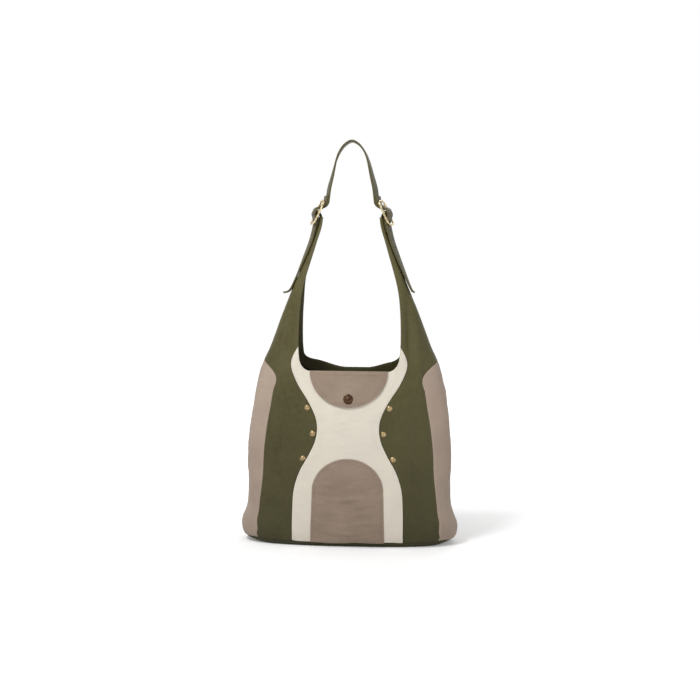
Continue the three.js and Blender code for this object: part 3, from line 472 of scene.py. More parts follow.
def with_waved_foot(points):
    """The points with their lowest rows moved to the foot line."""
    share = np.clip((FOOT_TOP - points[..., 2]) / FOOT_FADE, 0, 1)
    points[..., 2] += share * (foot_line(points[..., 0]) - BASE_SEAM)
    return points


def side_panel_points():
    """Rows of the front right panel: from the centre panel's edge to the gusset's, and up to the neck."""
    turn = np.radians(np.concatenate([[0.5, 1.2, 2.4], np.arange(4, 90, 3.4)]))
    arch = GUSSET_SPRING + GUSSET_RISE * np.sin(turn) ** (2 / GUSSET_SQUARENESS)
    low = BASE_SEAM + np.array(EDGE_ROWS)
    body = np.arange(low[-1] + 2.6, GUSSET_SPRING, 2.9)
    above = np.arange(GUSSET_SPRING + GUSSET_RISE + 0.2, NECK_END - 7, 3.2)
    heights = np.concatenate([low, body, arch, above, NECK_END - np.array(EDGE_ROWS[::-1])])
    tucked = np.where(heights < TIP_HEIGHT, hourglass(heights) - TUCK, 0)
    start = angle_at_x(np.maximum(tucked, mouth_edge(heights)), heights)
    end = angle_at_y(gusset_edge(heights) + SEAM_GAP, heights)
    fine = np.linspace(0, 1, 160)
    dense = skin(start[:, None] + (end - start)[:, None] * fine, heights[:, None] + 0 * fine)
    run = lengths(dense, 1)
    rows = zip(spaced(run[:, -1], 44), run, dense)
    return with_waved_foot(np.stack([sampled(*row) for row in rows]))


def centre_panel_points():
    """Columns of the front centre panel, from the foot to the hem and into its two tips."""
    def columns_at(height):
        half = hourglass(height)
        return spaced(2 * half, 46) - half[..., None]

    scan = np.arange(HEM_HEIGHT, TIP_HEIGHT + 0.25, 0.25)
    inside = np.abs(columns_at(scan)) >= mouth_edge(scan)[:, None]
    gone = np.argmin(inside, axis=0)
    tops = np.where(inside.all(axis=0), TIP_HEIGHT, scan[np.maximum(gone - 1, 0)])
    tops = np.where(inside[0], tops, HEM_HEIGHT)
    feet = foot_line(columns_at(np.array([BASE_SEAM]))[0])
    heights = (feet[:, None] + spaced(tops - feet, 104)).T
    across = [columns_at(column)[:, k] for k, column in enumerate(heights.T)]
    return on_front(np.stack(across, -1), heights)


def arch_distance(x, z, centre, half_width, rise, leg, power=2):
    """Distance inside an arch's curved edge, along the line from its centre, and inside its legs below."""
    up = (z - centre) / rise
    reach = (np.abs(x / half_width) ** power + np.abs(up) ** power) ** (1 / power)
    run = np.hypot(x, z - centre)
    inside = np.where(reach > 1e-6, run / np.maximum(reach, 1e-6) - run, abs(rise))
    return np.where(up > 0, inside, leg - np.abs(x))


def arch_leg(height):
    """Half width of the arch panel's two legs."""
    return ARCH_FOOT + (ARCH_SPRING_WIDTH - ARCH_FOOT) * np.clip(height / ARCH_SPRING, 0, 1)


def arch_panel_points():
    """Columns of the front arch panel, from the foot to its round top."""
    share = (spaced(2 * ARCH_SPRING_WIDTH, 34) - ARCH_SPRING_WIDTH) / ARCH_SPRING_WIDTH
    tops = ARCH_SPRING + ARCH_RISE * np.sqrt(1 - np.minimum(share ** 2, 1))
    feet = foot_line(share * ARCH_FOOT) - 0.4
    heights = (feet[:, None] + spaced(tops - feet, 58)).T
    return on_front(share * arch_leg(heights), heights)


def gusset_points():
    """Columns of the right gusset, from front to back."""
    half = GUSSET_LEG[-1][1]
    share = (spaced(2 * half, 30) - half) / half
    power = GUSSET_SQUARENESS
    crown = (1 - np.minimum(np.abs(share) ** power, 1)) ** (1 / power)
    tops = GUSSET_SPRING + (GUSSET_RISE - SEAM_GAP) * crown
    heights = (BASE_SEAM + spaced(tops - BASE_SEAM, 100)).T
    along = share * (gusset_table(heights)[..., 0] - SEAM_GAP)
    points = skin(angle_at_y(np.abs(along), heights), heights)
    points[..., 1] = along
    return with_waved_foot(points)


def mouth_strip(grow, top):
    """Points along the mouth's outline, moved outward by each grow, from the right ear's top to the left's."""
    rows = []
    heights = np.arange(top, HEM_HEIGHT + CORNER_HEIGHT, -3.0)
    turns = np.linspace(0, math.pi / 2, 12)
    flat = np.arange(HEM_HALF_WIDTH - 3, 0, -3.0)
    room = section_at(heights)[..., 0] - mouth_edge(heights) - 2
    for out in grow:
        ear = np.stack([mouth_edge(heights) + np.minimum(out, room), heights], -1)
        corner = np.stack([
            HEM_HALF_WIDTH + (CORNER_WIDTH + out) * np.cos(turns),
            HEM_HEIGHT + CORNER_HEIGHT - (CORNER_HEIGHT + out) * np.sin(turns),
        ], -1)
        hem = np.stack([flat, 0 * flat + HEM_HEIGHT - out], -1)
        right = np.concatenate([ear, corner, hem])
        rows.append(np.concatenate([right, right[::-1] * np.array([-1, 1])]))
    outline = np.array(rows)
    return on_front(outline[..., 0], outline[..., 1])


# Materials


def wire(tree, node, values):
    """Links a node's inputs to sockets, or sets them to values."""
    for key, value in values.items():
        if isinstance(value, bpy.types.NodeSocket):
            tree.links.new(value, node.inputs[key])
        else:
            node.inputs[key].default_value = value


def add(tree, kind, values=None, **settings):
    """Adds a node with its settings and its inputs."""
    made = tree.nodes.new(kind)
    for key, value in settings.items():
        setattr(made, key, value)
    wire(tree, made, values or {})
    return made


def blank(name):
    """A new material with its tree and its surface shader."""
    made = bpy.data.materials.new(name)
    made.use_nodes = True
    return made, made.node_tree, made.node_tree.nodes["Principled BSDF"]


def math_node(tree, operation, first, second):
    """Two numbers put together by an operation."""
    return add(tree, "ShaderNodeMath", {0: first, 1: second}, operation=operation).outputs[0]


def mixed(tree, share, first, second, blend="MIX"):
    """A colour between two, by a share."""
    values = {0: share, 6: first, 7: second}
    return add(tree, "ShaderNodeMix", values, data_type="RGBA", blend_type=blend).outputs[2]


def ranged(tree, value, start=(0, 1), end=(0, 1)):
    """A value taken from one range to another, and held inside it."""
    ends = {"From Min": start[0], "From Max": start[1], "To Min": end[0], "To Max": end[1]}
    return add(tree, "ShaderNodeMapRange", {"Value": value, **ends}).outputs["Result"]


def blotches(tree, place, size, detail=3.0, low=0.35, high=0.65):
    """Soft patches from 0 to 1 with lumps of the given size in mm."""
    lumps = add(tree, "ShaderNodeTexNoise", {"Vector": place, "Scale": 1000 / size, "Detail": detail})
    return ranged(tree, lumps.outputs["Fac"], (low, high))


def bumped(tree, height, depth, strength, below=None):
    """A bump of the given depth in mm, on top of the one below it."""
    values = {"Height": height, "Distance": depth * MM, "Strength": strength}
    if below is not None:
        values["Normal"] = below
    return add(tree, "ShaderNodeBump", values).outputs["Normal"]


def stretched(tree, place, scale):
    """Coordinates with another scale along each axis."""
    return add(tree, "ShaderNodeMapping", {"Vector": place, "Scale": scale}).outputs[0]


def painted_shade_and_light(tree, place, ground, heights, shares):
    """Painted shade and light: the colour darkened low on the bag and, with a share over 1, lightened high on it, as
    the lamps fall; shares of it at two heights in mm.
    """
    height = add(tree, "ShaderNodeSeparateXYZ", {"Vector": place}).outputs["Z"]
    share = ranged(tree, height, [h * MM for h in heights], shares)
    return mixed(tree, 1.0, ground, share, "MULTIPLY")


def rubbed(tree, ground, worn):
    """A colour that is paler on the edges, where the wear attribute says so."""
    wear = add(tree, "ShaderNodeAttribute", attribute_name="wear").outputs["Fac"]
    return mixed(tree, wear, ground, worn)


# The wave texture repeats after this length at scale 1.
WAVE_PERIOD = 0.314


def twill(name, colour, shade, worn, rough=0.86, thread=0.9, crease=0.4, foot=0.86):
    """Cotton twill, washed: matt, with fine slanted ribs, small creases, edges rubbed paler, and painted shade that
    darkens it towards the foot to the share foot.

    The ribs are drawn at 0.9 mm, about twice the real spacing, so that they show from a step away.
    """
    made, tree, shader = blank(name)
    coordinate = add(tree, "ShaderNodeTexCoord")
    place = coordinate.outputs["Object"]

    def threads(angle, spacing, distortion):
        slanted = {"Vector": coordinate.outputs["UV"], "Rotation": (0, 0, math.radians(angle))}
        slanted = add(tree, "ShaderNodeMapping", slanted).outputs[0]
        values = {"Vector": slanted, "Scale": WAVE_PERIOD / (spacing * MM), "Distortion": distortion}
        return add(tree, "ShaderNodeTexWave", values).outputs["Fac"]

    ribs, yarns = threads(58, thread, 0.6), threads(-32, thread / 1.6, 0.5)
    ground = mixed(tree, blotches(tree, place, 55), colour, shade)
    flecks = blotches(tree, place, 1.6, 2.0, 0.3, 0.7)
    ground = mixed(tree, math_node(tree, "MULTIPLY", flecks, 0.22), ground, worn)
    ground = mixed(tree, math_node(tree, "MULTIPLY", ribs, 0.16), ground, shade)
    ground = rubbed(tree, ground, worn)
    creases = blotches(tree, stretched(tree, place, (0.5, 1, 1.3)), 12, 4.0, 0.2, 0.8)
    relief = bumped(tree, creases, 1.6, crease)
    relief = bumped(tree, yarns, 0.06, 0.5, relief)
    wire(tree, shader, {
        # Painted shade: the colour darkens from full at 290 mm to the share foot at 60 mm.
        "Base Color": painted_shade_and_light(tree, place, ground, (60, 290), (foot, 1.0)),
        "Normal": bumped(tree, ribs, 0.1, 0.7, relief), "Roughness": rough,
        "Sheen Weight": 0.12, "Sheen Roughness": 0.5, "Specular IOR Level": 0.25,
    })
    return made


def smooth_leather(name, colour, shade, worn, rough=0.5, grain=1.1, gloss=0.22):
    """Coated smooth leather: satin, with a fine pebble grain, soft mottling, edges rubbed paler, painted shade low
    on the bag and painted light high on it.
    """
    made, tree, shader = blank(name)
    place = add(tree, "ShaderNodeTexCoord").outputs["Object"]
    small = blotches(tree, place, 7, 4.0, 0.3, 0.75)
    ground = mixed(tree, blotches(tree, place, 70, 3.0, 0.3, 0.7), colour, shade)
    ground = mixed(tree, math_node(tree, "MULTIPLY", small, 0.3), ground, worn)
    ground = rubbed(tree, ground, worn)
    pebbles = add(tree, "ShaderNodeTexVoronoi", {"Vector": place, "Scale": 1000 / grain}, feature="SMOOTH_F1")
    relief = bumped(tree, blotches(tree, place, 16), 0.4, 0.3)
    wire(tree, shader, {
        # Painted shade and light: the colour darkens to 0.74 at 40 mm and lightens to 1.3 at 480 mm.
        "Base Color": painted_shade_and_light(tree, place, ground, (40, 480), (0.74, 1.3)),
        "Normal": bumped(tree, pebbles.outputs["Distance"], 0.09, 0.55, relief),
        "Roughness": ranged(tree, small, end=(rough - 0.07, rough + 0.08)), "Specular IOR Level": gloss,
    })
    return made


def cast_brass(name, colour, tarnish, rough):
    """Plated cast brass: polished, with thin tarnish in patches and fine rub marks."""
    made, tree, shader = blank(name)
    place = add(tree, "ShaderNodeTexCoord").outputs["Object"]
    patina = blotches(tree, place, 5, 4.0, 0.42, 0.72)
    marks = blotches(tree, stretched(tree, place, (1, 1, 0.12)), 0.7, 2.0, 0.3, 0.7)
    wire(tree, shader, {
        "Base Color": mixed(tree, patina, colour, tarnish), "Normal": bumped(tree, marks, 0.02, 0.4),
        "Roughness": ranged(tree, marks, end=(rough - 0.06, rough + 0.1)), "Metallic": 1.0,
    })
    return made


def spun_thread(name, colour, shade):
    """Spun polyester sewing thread: matt, with a slight twist."""
    made, tree, shader = blank(name)
    place = add(tree, "ShaderNodeTexCoord").outputs["Object"]
    values = {"Vector": place, "Scale": 450, "Distortion": 1.0}
    twist = add(tree, "ShaderNodeTexWave", values, bands_direction="DIAGONAL").outputs["Fac"]
    wire(tree, shader, {
        "Base Color": mixed(tree, twist, colour, shade), "Normal": bumped(tree, twist, 0.08, 0.6), "Roughness": 0.75,
    })
    return made


def grey_board(name, colour, shade):
    """Pressed fibre board: matt, with short fibres."""
    made, tree, shader = blank(name)
    fibres = blotches(tree, add(tree, "ShaderNodeTexCoord").outputs["Object"], 2.5, 5.0)
    wire(tree, shader, {
        "Base Color": mixed(tree, fibres, colour, shade), "Normal": bumped(tree, fibres, 0.1, 0.4), "Roughness": 0.9,
    })
    return made


# The finishes: their name, what makes them, their colours (a user's or a fixed one) and their settings.
FINISHES = {
    "olive": ("olive coated leather", smooth_leather, ("olive", "olive_shade", "olive_worn"), {}),
    "base": ("dark olive coated leather", smooth_leather, ("base", "olive_shade", "olive"), {"rough": 0.58}),
    "strap": (
        "olive strap leather", smooth_leather, ("strap", "olive_shade", "olive_worn"), {"grain": 0.8, "gloss": 0.2},
    ),
    # The cream keeps more of its colour under the painted shade at the foot.
    "cream": ("cream cotton twill", twill, ("cream", "cream_shade", "cream_worn"), {"foot": 0.92}),
    "taupe": ("taupe cotton twill", twill, ("taupe", "taupe_shade", "taupe_worn"), {"crease": 0.7}),
    "gusset": ("rose taupe cotton twill", twill, ("gusset", "gusset_shade", "taupe_worn"), {}),
    "lining": ("dark cotton lining", twill, ("lining", "#1d1913", "#383127"), {"rough": 0.9, "thread": 0.7}),
    "board": ("grey fibre board", grey_board, ("#6f6a62", "#5b564f"), {}),
    "brass": ("pale cast brass", cast_brass, ("brass", "#8a6f3f"), {"rough": 0.24}),
    "antique": ("antique cast brass", cast_brass, ("#a8946f", "#6b5638"), {"rough": 0.34}),
    "copper": ("antique cast copper", cast_brass, ("copper", "#241610"), {"rough": 0.36}),
    "olive_thread": ("olive polyester thread", spun_thread, ("#6a6348", "#4b4632"), {}),
    "cream_thread": ("cream polyester thread", spun_thread, ("#e4dccd", "#bdb4a2"), {}),
    "taupe_thread": ("taupe polyester thread", spun_thread, ("#8a7766", "#6e5d4e"), {}),
}


def finish(key):
    """The bag's finishes, each made once."""
    name, make, tones, settings = FINISHES[key]
    found = bpy.data.materials.get(name)
    if found:
        return found
    chosen = bpy.context.scene.hobo_colours
    colours = [linear(tone) if tone.startswith("#") else getattr(chosen, tone) for tone in tones]
    return make(name, *colours, **settings)


# Stitches


def stitched(name, lines, key, body="bag"):
    """A piece of stitches along lines of points and normals, each stitch a small sunk bead."""
    sizes = bpy.context.scene.hobo_sizes
    pitch = sizes.stitch_pitch / MM
    bead = Matrix.Diagonal((STITCH_HALF_WIDTH * MM, STITCH_HALF_HEIGHT * MM, sizes.stitch_length / 2, 1))
    bm = bmesh.new()
    for points, normals in lines:
        run = lengths(points, 0)
        for start in np.arange(pitch / 2, run[-1] - pitch / 2, pitch):
            middle = sampled(start, run, points)
            along = Vector(sampled(start + 0.5, run, points) - middle).normalized()
            side = Vector(sampled(start, run, normals)).normalized().cross(along).normalized()
            turn = Matrix((side, along.cross(side), along)).transposed().to_4x4()
            place = Matrix.Translation(Vector(middle) * MM) @ turn @ bead
            bmesh.ops.create_uvsphere(bm, u_segments=6, v_segments=4, radius=1, matrix=place)
    mesh = meshed(bm, name)
    mesh.uv_layers.new(name="cloth")
    return new_piece(name, mesh, finish(key), body)


def skin_line(x, z, face):
    """Points and normals along a line on the front or back, given by X and Z."""
    base = on_front(x, z) * np.array([1.0, -face, 1.0])
    points = raised(base, 0)
    return points, unit(raised(base, 1) - points)


def seated(line, piece, over):
    """A line of points and normals set down on a piece's cloth, a little over it in mm."""
    mesh = bpy.data.objects[piece].data
    faces = [tuple(face.vertices) for face in mesh.polygons]
    cloth = BVHTree.FromPolygons([v.co for v in mesh.vertices], faces)
    points, normals = line
    start, reach = 12 * MM, 40 * MM
    spots = []
    for point, normal in zip(points, normals):
        way = Vector(normal)
        spot, _, _, _ = cloth.ray_cast(Vector(point) * MM + way * start, -way, reach)
        spots.append(np.array(spot) / MM + normal * over if spot else point + normal * over)
    return np.array(spots), normals


# Straps and metal


def spline(points, count):
    """Evenly spaced points on a smooth curve through control points in X and Z."""
    p = np.array(points, float)
    last = len(p) - 1
    dense = []
    for share in np.linspace(0, last, last * 24 + 1):
        k = min(int(share), last - 1)
        t = share - k
        before, after = p[max(k - 1, 0)], p[min(k + 2, last)]
        v0, v1 = (p[k + 1] - before) / 2, (after - p[k]) / 2
        dense.append(
            (2 * p[k] - 2 * p[k + 1] + v0 + v1) * t ** 3
            + (3 * p[k + 1] - 3 * p[k] - 2 * v0 - v1) * t ** 2 + v0 * t + p[k]
        )
    dense = np.array(dense)
    run = lengths(dense, 0)
    return sampled(np.linspace(0, run[-1], count), run, dense)


def at_buckle(up, out):
    """A point up along the leaning buckle and out from it."""
    sine, cosine = math.sin(BUCKLE_LEAN), math.cos(BUCKLE_LEAN)
    return BUCKLE_X - up * sine + out * cosine, BUCKLE_Z + up * cosine + out * sine


# The tabs' curled ends, from the last point of the tail: out and down.
LEFT_CURL = ((7.2, 16), (13.7, 22), (21.7, 23.5))
RIGHT_CURL = ((6.3, 14), (9.2, 19), (13.7, 21.5))
# The tail: how far below the buckle, and how far off the ear.
TAIL = ((33, 4.8), (43, 3.9), (57, 3.0), (79, 3.0), (101, 2.9), (123, 2.9))
# The way through the buckle: shares of the way from the bar to an end rail, and from under the rail to over the bar.
TAB_PASS = ((1, 0), (0.774, 0.079), (0.495, 0.537), (0.237, 0.974))
UNDER_RAIL, OVER_BAR, TAB_CROWN = -5.41, 5.95, 1.031
# The shoulder strap's arc: shares of BUCKLE_X from the middle and of STRAP_RISE above the buckles.
STRAP_ARC = (
    (0.66, 0.331), (0.622, 0.415), (0.57, 0.515), (0.517, 0.631), (0.456, 0.746), (0.359, 0.854), (0.206, 0.95),
)
# How far the shoulder strap laps over each tab.
LAP_LENGTH = 27


def tab_line(curl, count=150):
    """The tab's middle line from its lap above the buckle, through the buckle and down to its free end."""
    def crossing(up, climb):
        return at_buckle(up * FRAME_HALF_LENGTH, UNDER_RAIL + climb * (OVER_BAR - UNDER_RAIL))

    tail = [(section_at(BUCKLE_Z - down)[0] + off, BUCKLE_Z - down) for down, off in TAIL]
    end = [(tail[-1][0] + out, tail[-1][1] - down) for out, down in curl]
    lap = [(BUCKLE_X - 16.3, BUCKLE_Z + 31), (BUCKLE_X - 15.4, BUCKLE_Z + 24)]
    upper = [crossing(up, climb) for up, climb in TAB_PASS]
    lower = [crossing(-up, climb) for up, climb in TAB_PASS[::-1]]
    return spline(lap + upper + [crossing(0, TAB_CROWN)] + lower + tail + end, count)


def left_of(path):
    """Directions square to a path in X and Z, to its left."""
    along = unit(np.gradient(path, axis=0))
    return np.stack([-along[:, 1], along[:, 0]], -1)


def upright(flat, across=0):
    """Points in X and Z as points in space."""
    return np.stack(np.broadcast_arrays(flat[..., 0], across, flat[..., 1]), -1)


def on_side(points, normals, side):
    """Points and normals of a strap on the right, turned with the ears and put on their side."""
    moved = turned(points)
    place = np.array([side, 1.0, 1.0])
    return moved * place, unit((turned(points + normals) - moved) * place)


def shoulder_line():
    """The shoulder strap's middle line, from one lap over the top to the other."""
    tab = tab_line(RIGHT_CURL, 400)
    lap = (tab - left_of(tab) * (STRAP_WALL + 0.3))[lengths(tab, 0) <= LAP_LENGTH][::-1]
    right = [tuple(point) for point in lap[::max(len(lap) // 6, 1)]]
    if right[-1] != tuple(lap[-1]):
        right.append(tuple(lap[-1]))
    right += [(BUCKLE_X * across, BUCKLE_Z + STRAP_RISE * up) for across, up in STRAP_ARC]
    left = [(-x, z) for x, z in right[::-1]]
    return spline(right + [(0, BUCKLE_Z + STRAP_RISE)] + left, 220)


def strap_section(width, wall):
    """A strap's section as (across, out) pairs: rounded edges, a slight crown and two stitch grooves."""
    half, thick = width / 2, wall / 2
    corner = min(1.2, thick * 0.8)
    turns = np.radians([0, 22, 45, 68, 90])
    rim = [(half - corner + corner * math.sin(t), thick - corner + corner * math.cos(t)) for t in turns]
    groove_at = half - STRAP_INSET
    face = [
        (0, thick + 0.12), (half * 0.35, thick + 0.1), (groove_at - 2.2, thick + 0.05),
        (groove_at - 0.7, thick), (groove_at, thick - 0.28), (groove_at + 0.7, thick),
    ]
    quarter = face + rim
    upper = quarter + [(a, -b) for a, b in quarter[::-1]]
    lower = [(-a, b) for a, b in upper[::-1]]
    loop = []
    for pair in upper + lower:
        if not loop or math.dist(pair, loop[-1]) > 1e-6:
            loop.append(pair)
    return np.array(loop + loop[:1])


def width_share(path, tipped):
    """The share of a strap's width along it, which narrows towards the end of a tab."""
    near = np.clip(np.linalg.norm(path - path[-1], axis=1) / TIP_LENGTH, 0, 1)
    return TIP_SHARE + (1 - TIP_SHARE) * np.sqrt(1 - (1 - near) ** 2) if tipped else np.ones(len(path))


def strap(name, path, width, wall, side=1, tipped=False):
    """A strap of the bag: its section carried along its line in X and Z, and turned with the ears."""
    section = strap_section(width, wall)
    flat = path[:, None] + left_of(path)[:, None] * section[:, 1:]
    across = section[:, 0] * width_share(path, tipped)[:, None]
    points = turned(upright(flat, across)) * np.array([side, 1.0, 1.0])
    uv = np.stack(np.broadcast_arrays(lengths(section, 0), lengths(path, 0)[:, None]), -1)
    wear = np.broadcast_to(0.35 * (np.abs(section[:, 0]) > width / 2 - 0.9), points.shape[:2])
    mesh = grid_mesh(name, points, close=True, uv=uv, wear=wear)
    return new_piece(f"{name}_leather", mesh, finish("strap"), "bag", [name])


def strap_stitching(name, path, side=1, tipped=False):
    """Two rows of stitches on each face of a strap, short of its ends."""
    lines = []
    out = left_of(path)
    for face in (1, -1):
        for sign in (-1, 1):
            across = sign * (STRAP_WIDTH / 2 - STRAP_INSET) * width_share(path, tipped)
            points = upright(path + out * face * (STRAP_WALL / 2 - 0.1), across)
            lines.append(on_side(points[4:-4], upright(out * face)[4:-4], side))
    stitched(f"{name}_stitching", lines, "olive_thread")


def sharpened(mesh):
    """Shades the mesh smooth, apart from its sharp edges."""
    mesh.shade_smooth()
    mesh.set_sharp_from_angle(angle=math.radians(50))


def cut(piece, *shapes):
    """Cuts bmeshes out of a piece, which keeps its material."""
    tools = [placed("cutter", meshed(shape, "cutter")) for shape in shapes]
    for tool in tools:
        knife = piece.modifiers.new("cut", "BOOLEAN")
        knife.operation, knife.solver, knife.object = "DIFFERENCE", "EXACT", tool
    bpy.context.view_layer.update()
    solved = piece.evaluated_get(bpy.context.evaluated_depsgraph_get())
    mesh = bpy.data.meshes.new_from_object(solved)
    mesh.materials.clear()
    mesh.materials.append(piece.data.materials[0])
    piece.modifiers.clear()
    piece.data = mesh
    for tool in tools:
        bpy.data.objects.remove(tool)
    sharpened(mesh)


def spun(outline, steps, place):
    """A turned shape: pairs of radius and height in mm, spun about Z and then placed."""
    bm = bmesh.new()
    verts = [bm.verts.new((radius * MM, 0, height * MM)) for radius, height in outline]
    edges = [bm.edges.new(pair) for pair in zip(verts, verts[1:])]
    bmesh.ops.spin(
        bm, geom=verts + edges, cent=(0, 0, 0), axis=(0, 0, 1), angle=math.tau, steps=steps, use_merge=True,
    )
    bmesh.ops.remove_doubles(bm, verts=bm.verts[:], dist=1e-7)
    bmesh.ops.transform(bm, matrix=place, verts=bm.verts[:])
    return bm


def metal(name, bm, key, body, node):
    """A metal piece that stands for a node, with its faces turned outward."""
    bmesh.ops.recalc_face_normals(bm, faces=bm.faces[:])
    mesh = meshed(bm, node)
    mesh.uv_layers.new(name="cloth")
    new_piece(name, mesh, finish(key), body, [node])


def stand_on(point, normal):
    """A matrix that stands a turned shape on the cloth, point in mm."""
    turn = Vector(normal).to_track_quat("Z", "Y").to_matrix().to_4x4()
    return Matrix.Translation(Vector(point) * MM) @ turn


def seat(spot, piece, over):
    """A matrix that stands a turned shape on a piece's cloth at a spot."""
    points, normals = seated(spot, piece, over)
    return stand_on(points[0], normals[0])


def buckle_place(side):
    """A matrix that puts a shape, upright at the origin, into the leaning buckle."""
    lean = Matrix.Rotation(-BUCKLE_LEAN, 4, "Y")
    turn = Matrix.Rotation(-TURN, 4, "Z")
    place = Matrix.Translation((BUCKLE_X * MM, 0, BUCKLE_Z * MM)) @ turn @ lean
    return Matrix.Diagonal((side, 1, 1, 1)) @ place


def add_grid(bm, points):
    """Adds a closed grid of points in mm to a bmesh."""
    mesh = grid_mesh("grid", points, close=True)
    bm.from_mesh(mesh)
    bpy.data.meshes.remove(mesh)


def frame_shape(side):
    """A buckle frame: a rounded rail round a window, and a centre bar with small shoulders."""
    corner, rail, end_rail, thickness, squareness = 7.2, 2.5, 1.75, 1.6, 0.62
    turns = np.radians(np.arange(0, 360, 90)[:, None] + np.linspace(0, 90, 7)).ravel()
    sign_x, sign_z = np.repeat([1, -1, -1, 1], 7), np.repeat([1, 1, -1, -1], 7)
    corners = np.stack([
        sign_x * (FRAME_HALF_WIDTH - corner) + corner * np.cos(turns),
        sign_z * (FRAME_HALF_LENGTH - corner) + corner * np.sin(turns),
        rail - (rail - end_rail) * np.abs(np.sin(turns)),
    ], -1)
    line = []
    for first, last in zip(corners, np.roll(corners, -1, axis=0)):
        parts = max(1, round(math.dist(first[:2], last[:2]) / 1.6))
        line += [first + (last - first) * part / parts for part in range(parts)]
    line = np.array(line)
    ahead = unit(np.roll(line[:, :2], -1, axis=0) - np.roll(line[:, :2], 1, axis=0))
    line, ahead = np.concatenate([line, line[:1]]), np.concatenate([ahead, ahead[:1]])
    turns = np.linspace(0, math.tau, 17)
    wide, thick = (np.sign(wave) * np.abs(wave) ** squareness for wave in (np.cos(turns), np.sin(turns)))
    y = line[:, None, 0] + ahead[:, None, 1] * wide * line[:, None, 2]
    z = line[:, None, 1] - ahead[:, None, 0] * wide * line[:, None, 2]
    # Half of the bar: radius and distance from its middle.
    bar = [(0, 15.8), (2.3, 15.8), (2.3, 14.6), (BAR_RADIUS, 14)]
    bar = [(radius, -height) for radius, height in bar] + bar[::-1]
    bm = spun(bar, 20, Matrix.Rotation(math.pi / 2, 4, "X"))
    add_grid(bm, np.stack([thickness * thick + 0 * y, y, z], -1))
    bmesh.ops.transform(bm, matrix=buckle_place(side), verts=bm.verts[:])
    return bm


def prong_shape(side):
    """A prong: a ring round the centre bar and a tapered pin that rests on the end rail."""
    # The ring's outline: radius and distance along the bar.
    loop = np.array([
        (2.1, -2.0), (2.1, 2.0), (2.35, 2.25), (3.3, 2.25), (3.6, 1.9), (3.6, -1.9), (3.3, -2.25), (2.35, -2.25),
        (2.1, -2.0),
    ])
    turns = np.linspace(0, math.tau, 25)[:, None]
    bm = bmesh.new()
    add_grid(bm, np.stack([loop[:, 0] * np.cos(turns), loop[:, 1] + 0 * turns, loop[:, 0] * np.sin(turns)], -1))
    line = spline([(2.9, 0.6), (3.0, 6), (3.05, 14), (3.0, 20), (3.0, 24.5), (2.7, 26.6)], 26)
    radius = np.interp(np.linspace(0, 1, 26), [0, 0.5, 0.9, 0.97, 1], [1.15, 1.05, 0.9, 0.7, 0.12])[:, None]
    turns = np.linspace(0, math.tau, 13)
    flat = line[:, None] + left_of(line)[:, None] * (radius * np.cos(turns))[..., None]
    add_grid(bm, upright(flat, radius * np.sin(turns)))
    bmesh.ops.transform(bm, matrix=buckle_place(side), verts=bm.verts[:])
    return bm


# What a user can change


def length(name, text, default):
    """A size that a user can change, from its value in mm."""
    return bpy.props.FloatProperty(
        name=name, description=text, default=default * MM, min=0, unit="LENGTH", subtype="DISTANCE", precision=4,
    )


def colour(name, text, code):
    """A colour that a user can change, from its sRGB hex."""
    return bpy.props.FloatVectorProperty(
        name=name, description=text, default=linear(code), size=4, min=0, max=1, subtype="COLOR",
    )


class HoboSizes(bpy.types.PropertyGroup):
    """Sizes of the bag's cloth and sewing."""

    shell_wall: length("Shell wall", "Thickness of the outer cloth", 1.4)
    inner_wall: length("Inner wall", "Thickness of the facing and lining", 0.8)
    patch_lift: length("Patch lift", "How far a patch stands over the cloth below it", 1.0)
    stitch_length: length("Stitch length", "Length of one stitch", 2.7)
    stitch_pitch: length("Stitch pitch", "Distance from stitch to stitch", 3.6)


class HoboColours(bpy.types.PropertyGroup):
    """Colours of the bag."""

    olive: colour("Olive", "Side panels", "#4b4729")
    olive_shade: colour("Olive shade", "Darker patches of the side panels", "#403c20")
    olive_worn: colour("Olive worn", "Rubbed edges of the side panels", "#5c563a")
    base: colour("Base", "Base panel and hem facing", "#403c2a")
    strap: colour("Strap", "Shoulder strap, tabs and chapes", "#393523")
    cream: colour("Cream", "Centre panel", "#dbd3c3")
    cream_shade: colour("Cream shade", "Darker patches of the centre panel", "#d6cec0")
    cream_worn: colour("Cream worn", "Rubbed edges of the centre panel", "#ebe4d8")
    taupe: colour("Taupe", "Flap and arch panel", "#968474")
    taupe_shade: colour("Taupe shade", "Darker patches of flap and arch", "#8b7969")
    taupe_worn: colour("Taupe worn", "Rubbed edges of flap and arch", "#b3a292")
    gusset: colour("Gusset", "Side panels with an arch", "#a89687")
    gusset_shade: colour("Gusset shade", "Darker patches of the gussets", "#9e8c7e")
    lining: colour("Lining", "Inside of the bag", "#2a251d")
    brass: colour("Brass", "Buckles", "#d8c9a2")
    copper: colour("Copper", "Press stud", "#54402f")


class Builder:
    """What every builder of the bag shares."""

    bl_options = {"REGISTER", "UNDO"}

    def execute(self, context):
        self.build(context.scene.hobo_sizes)
        return {"FINISHED"}


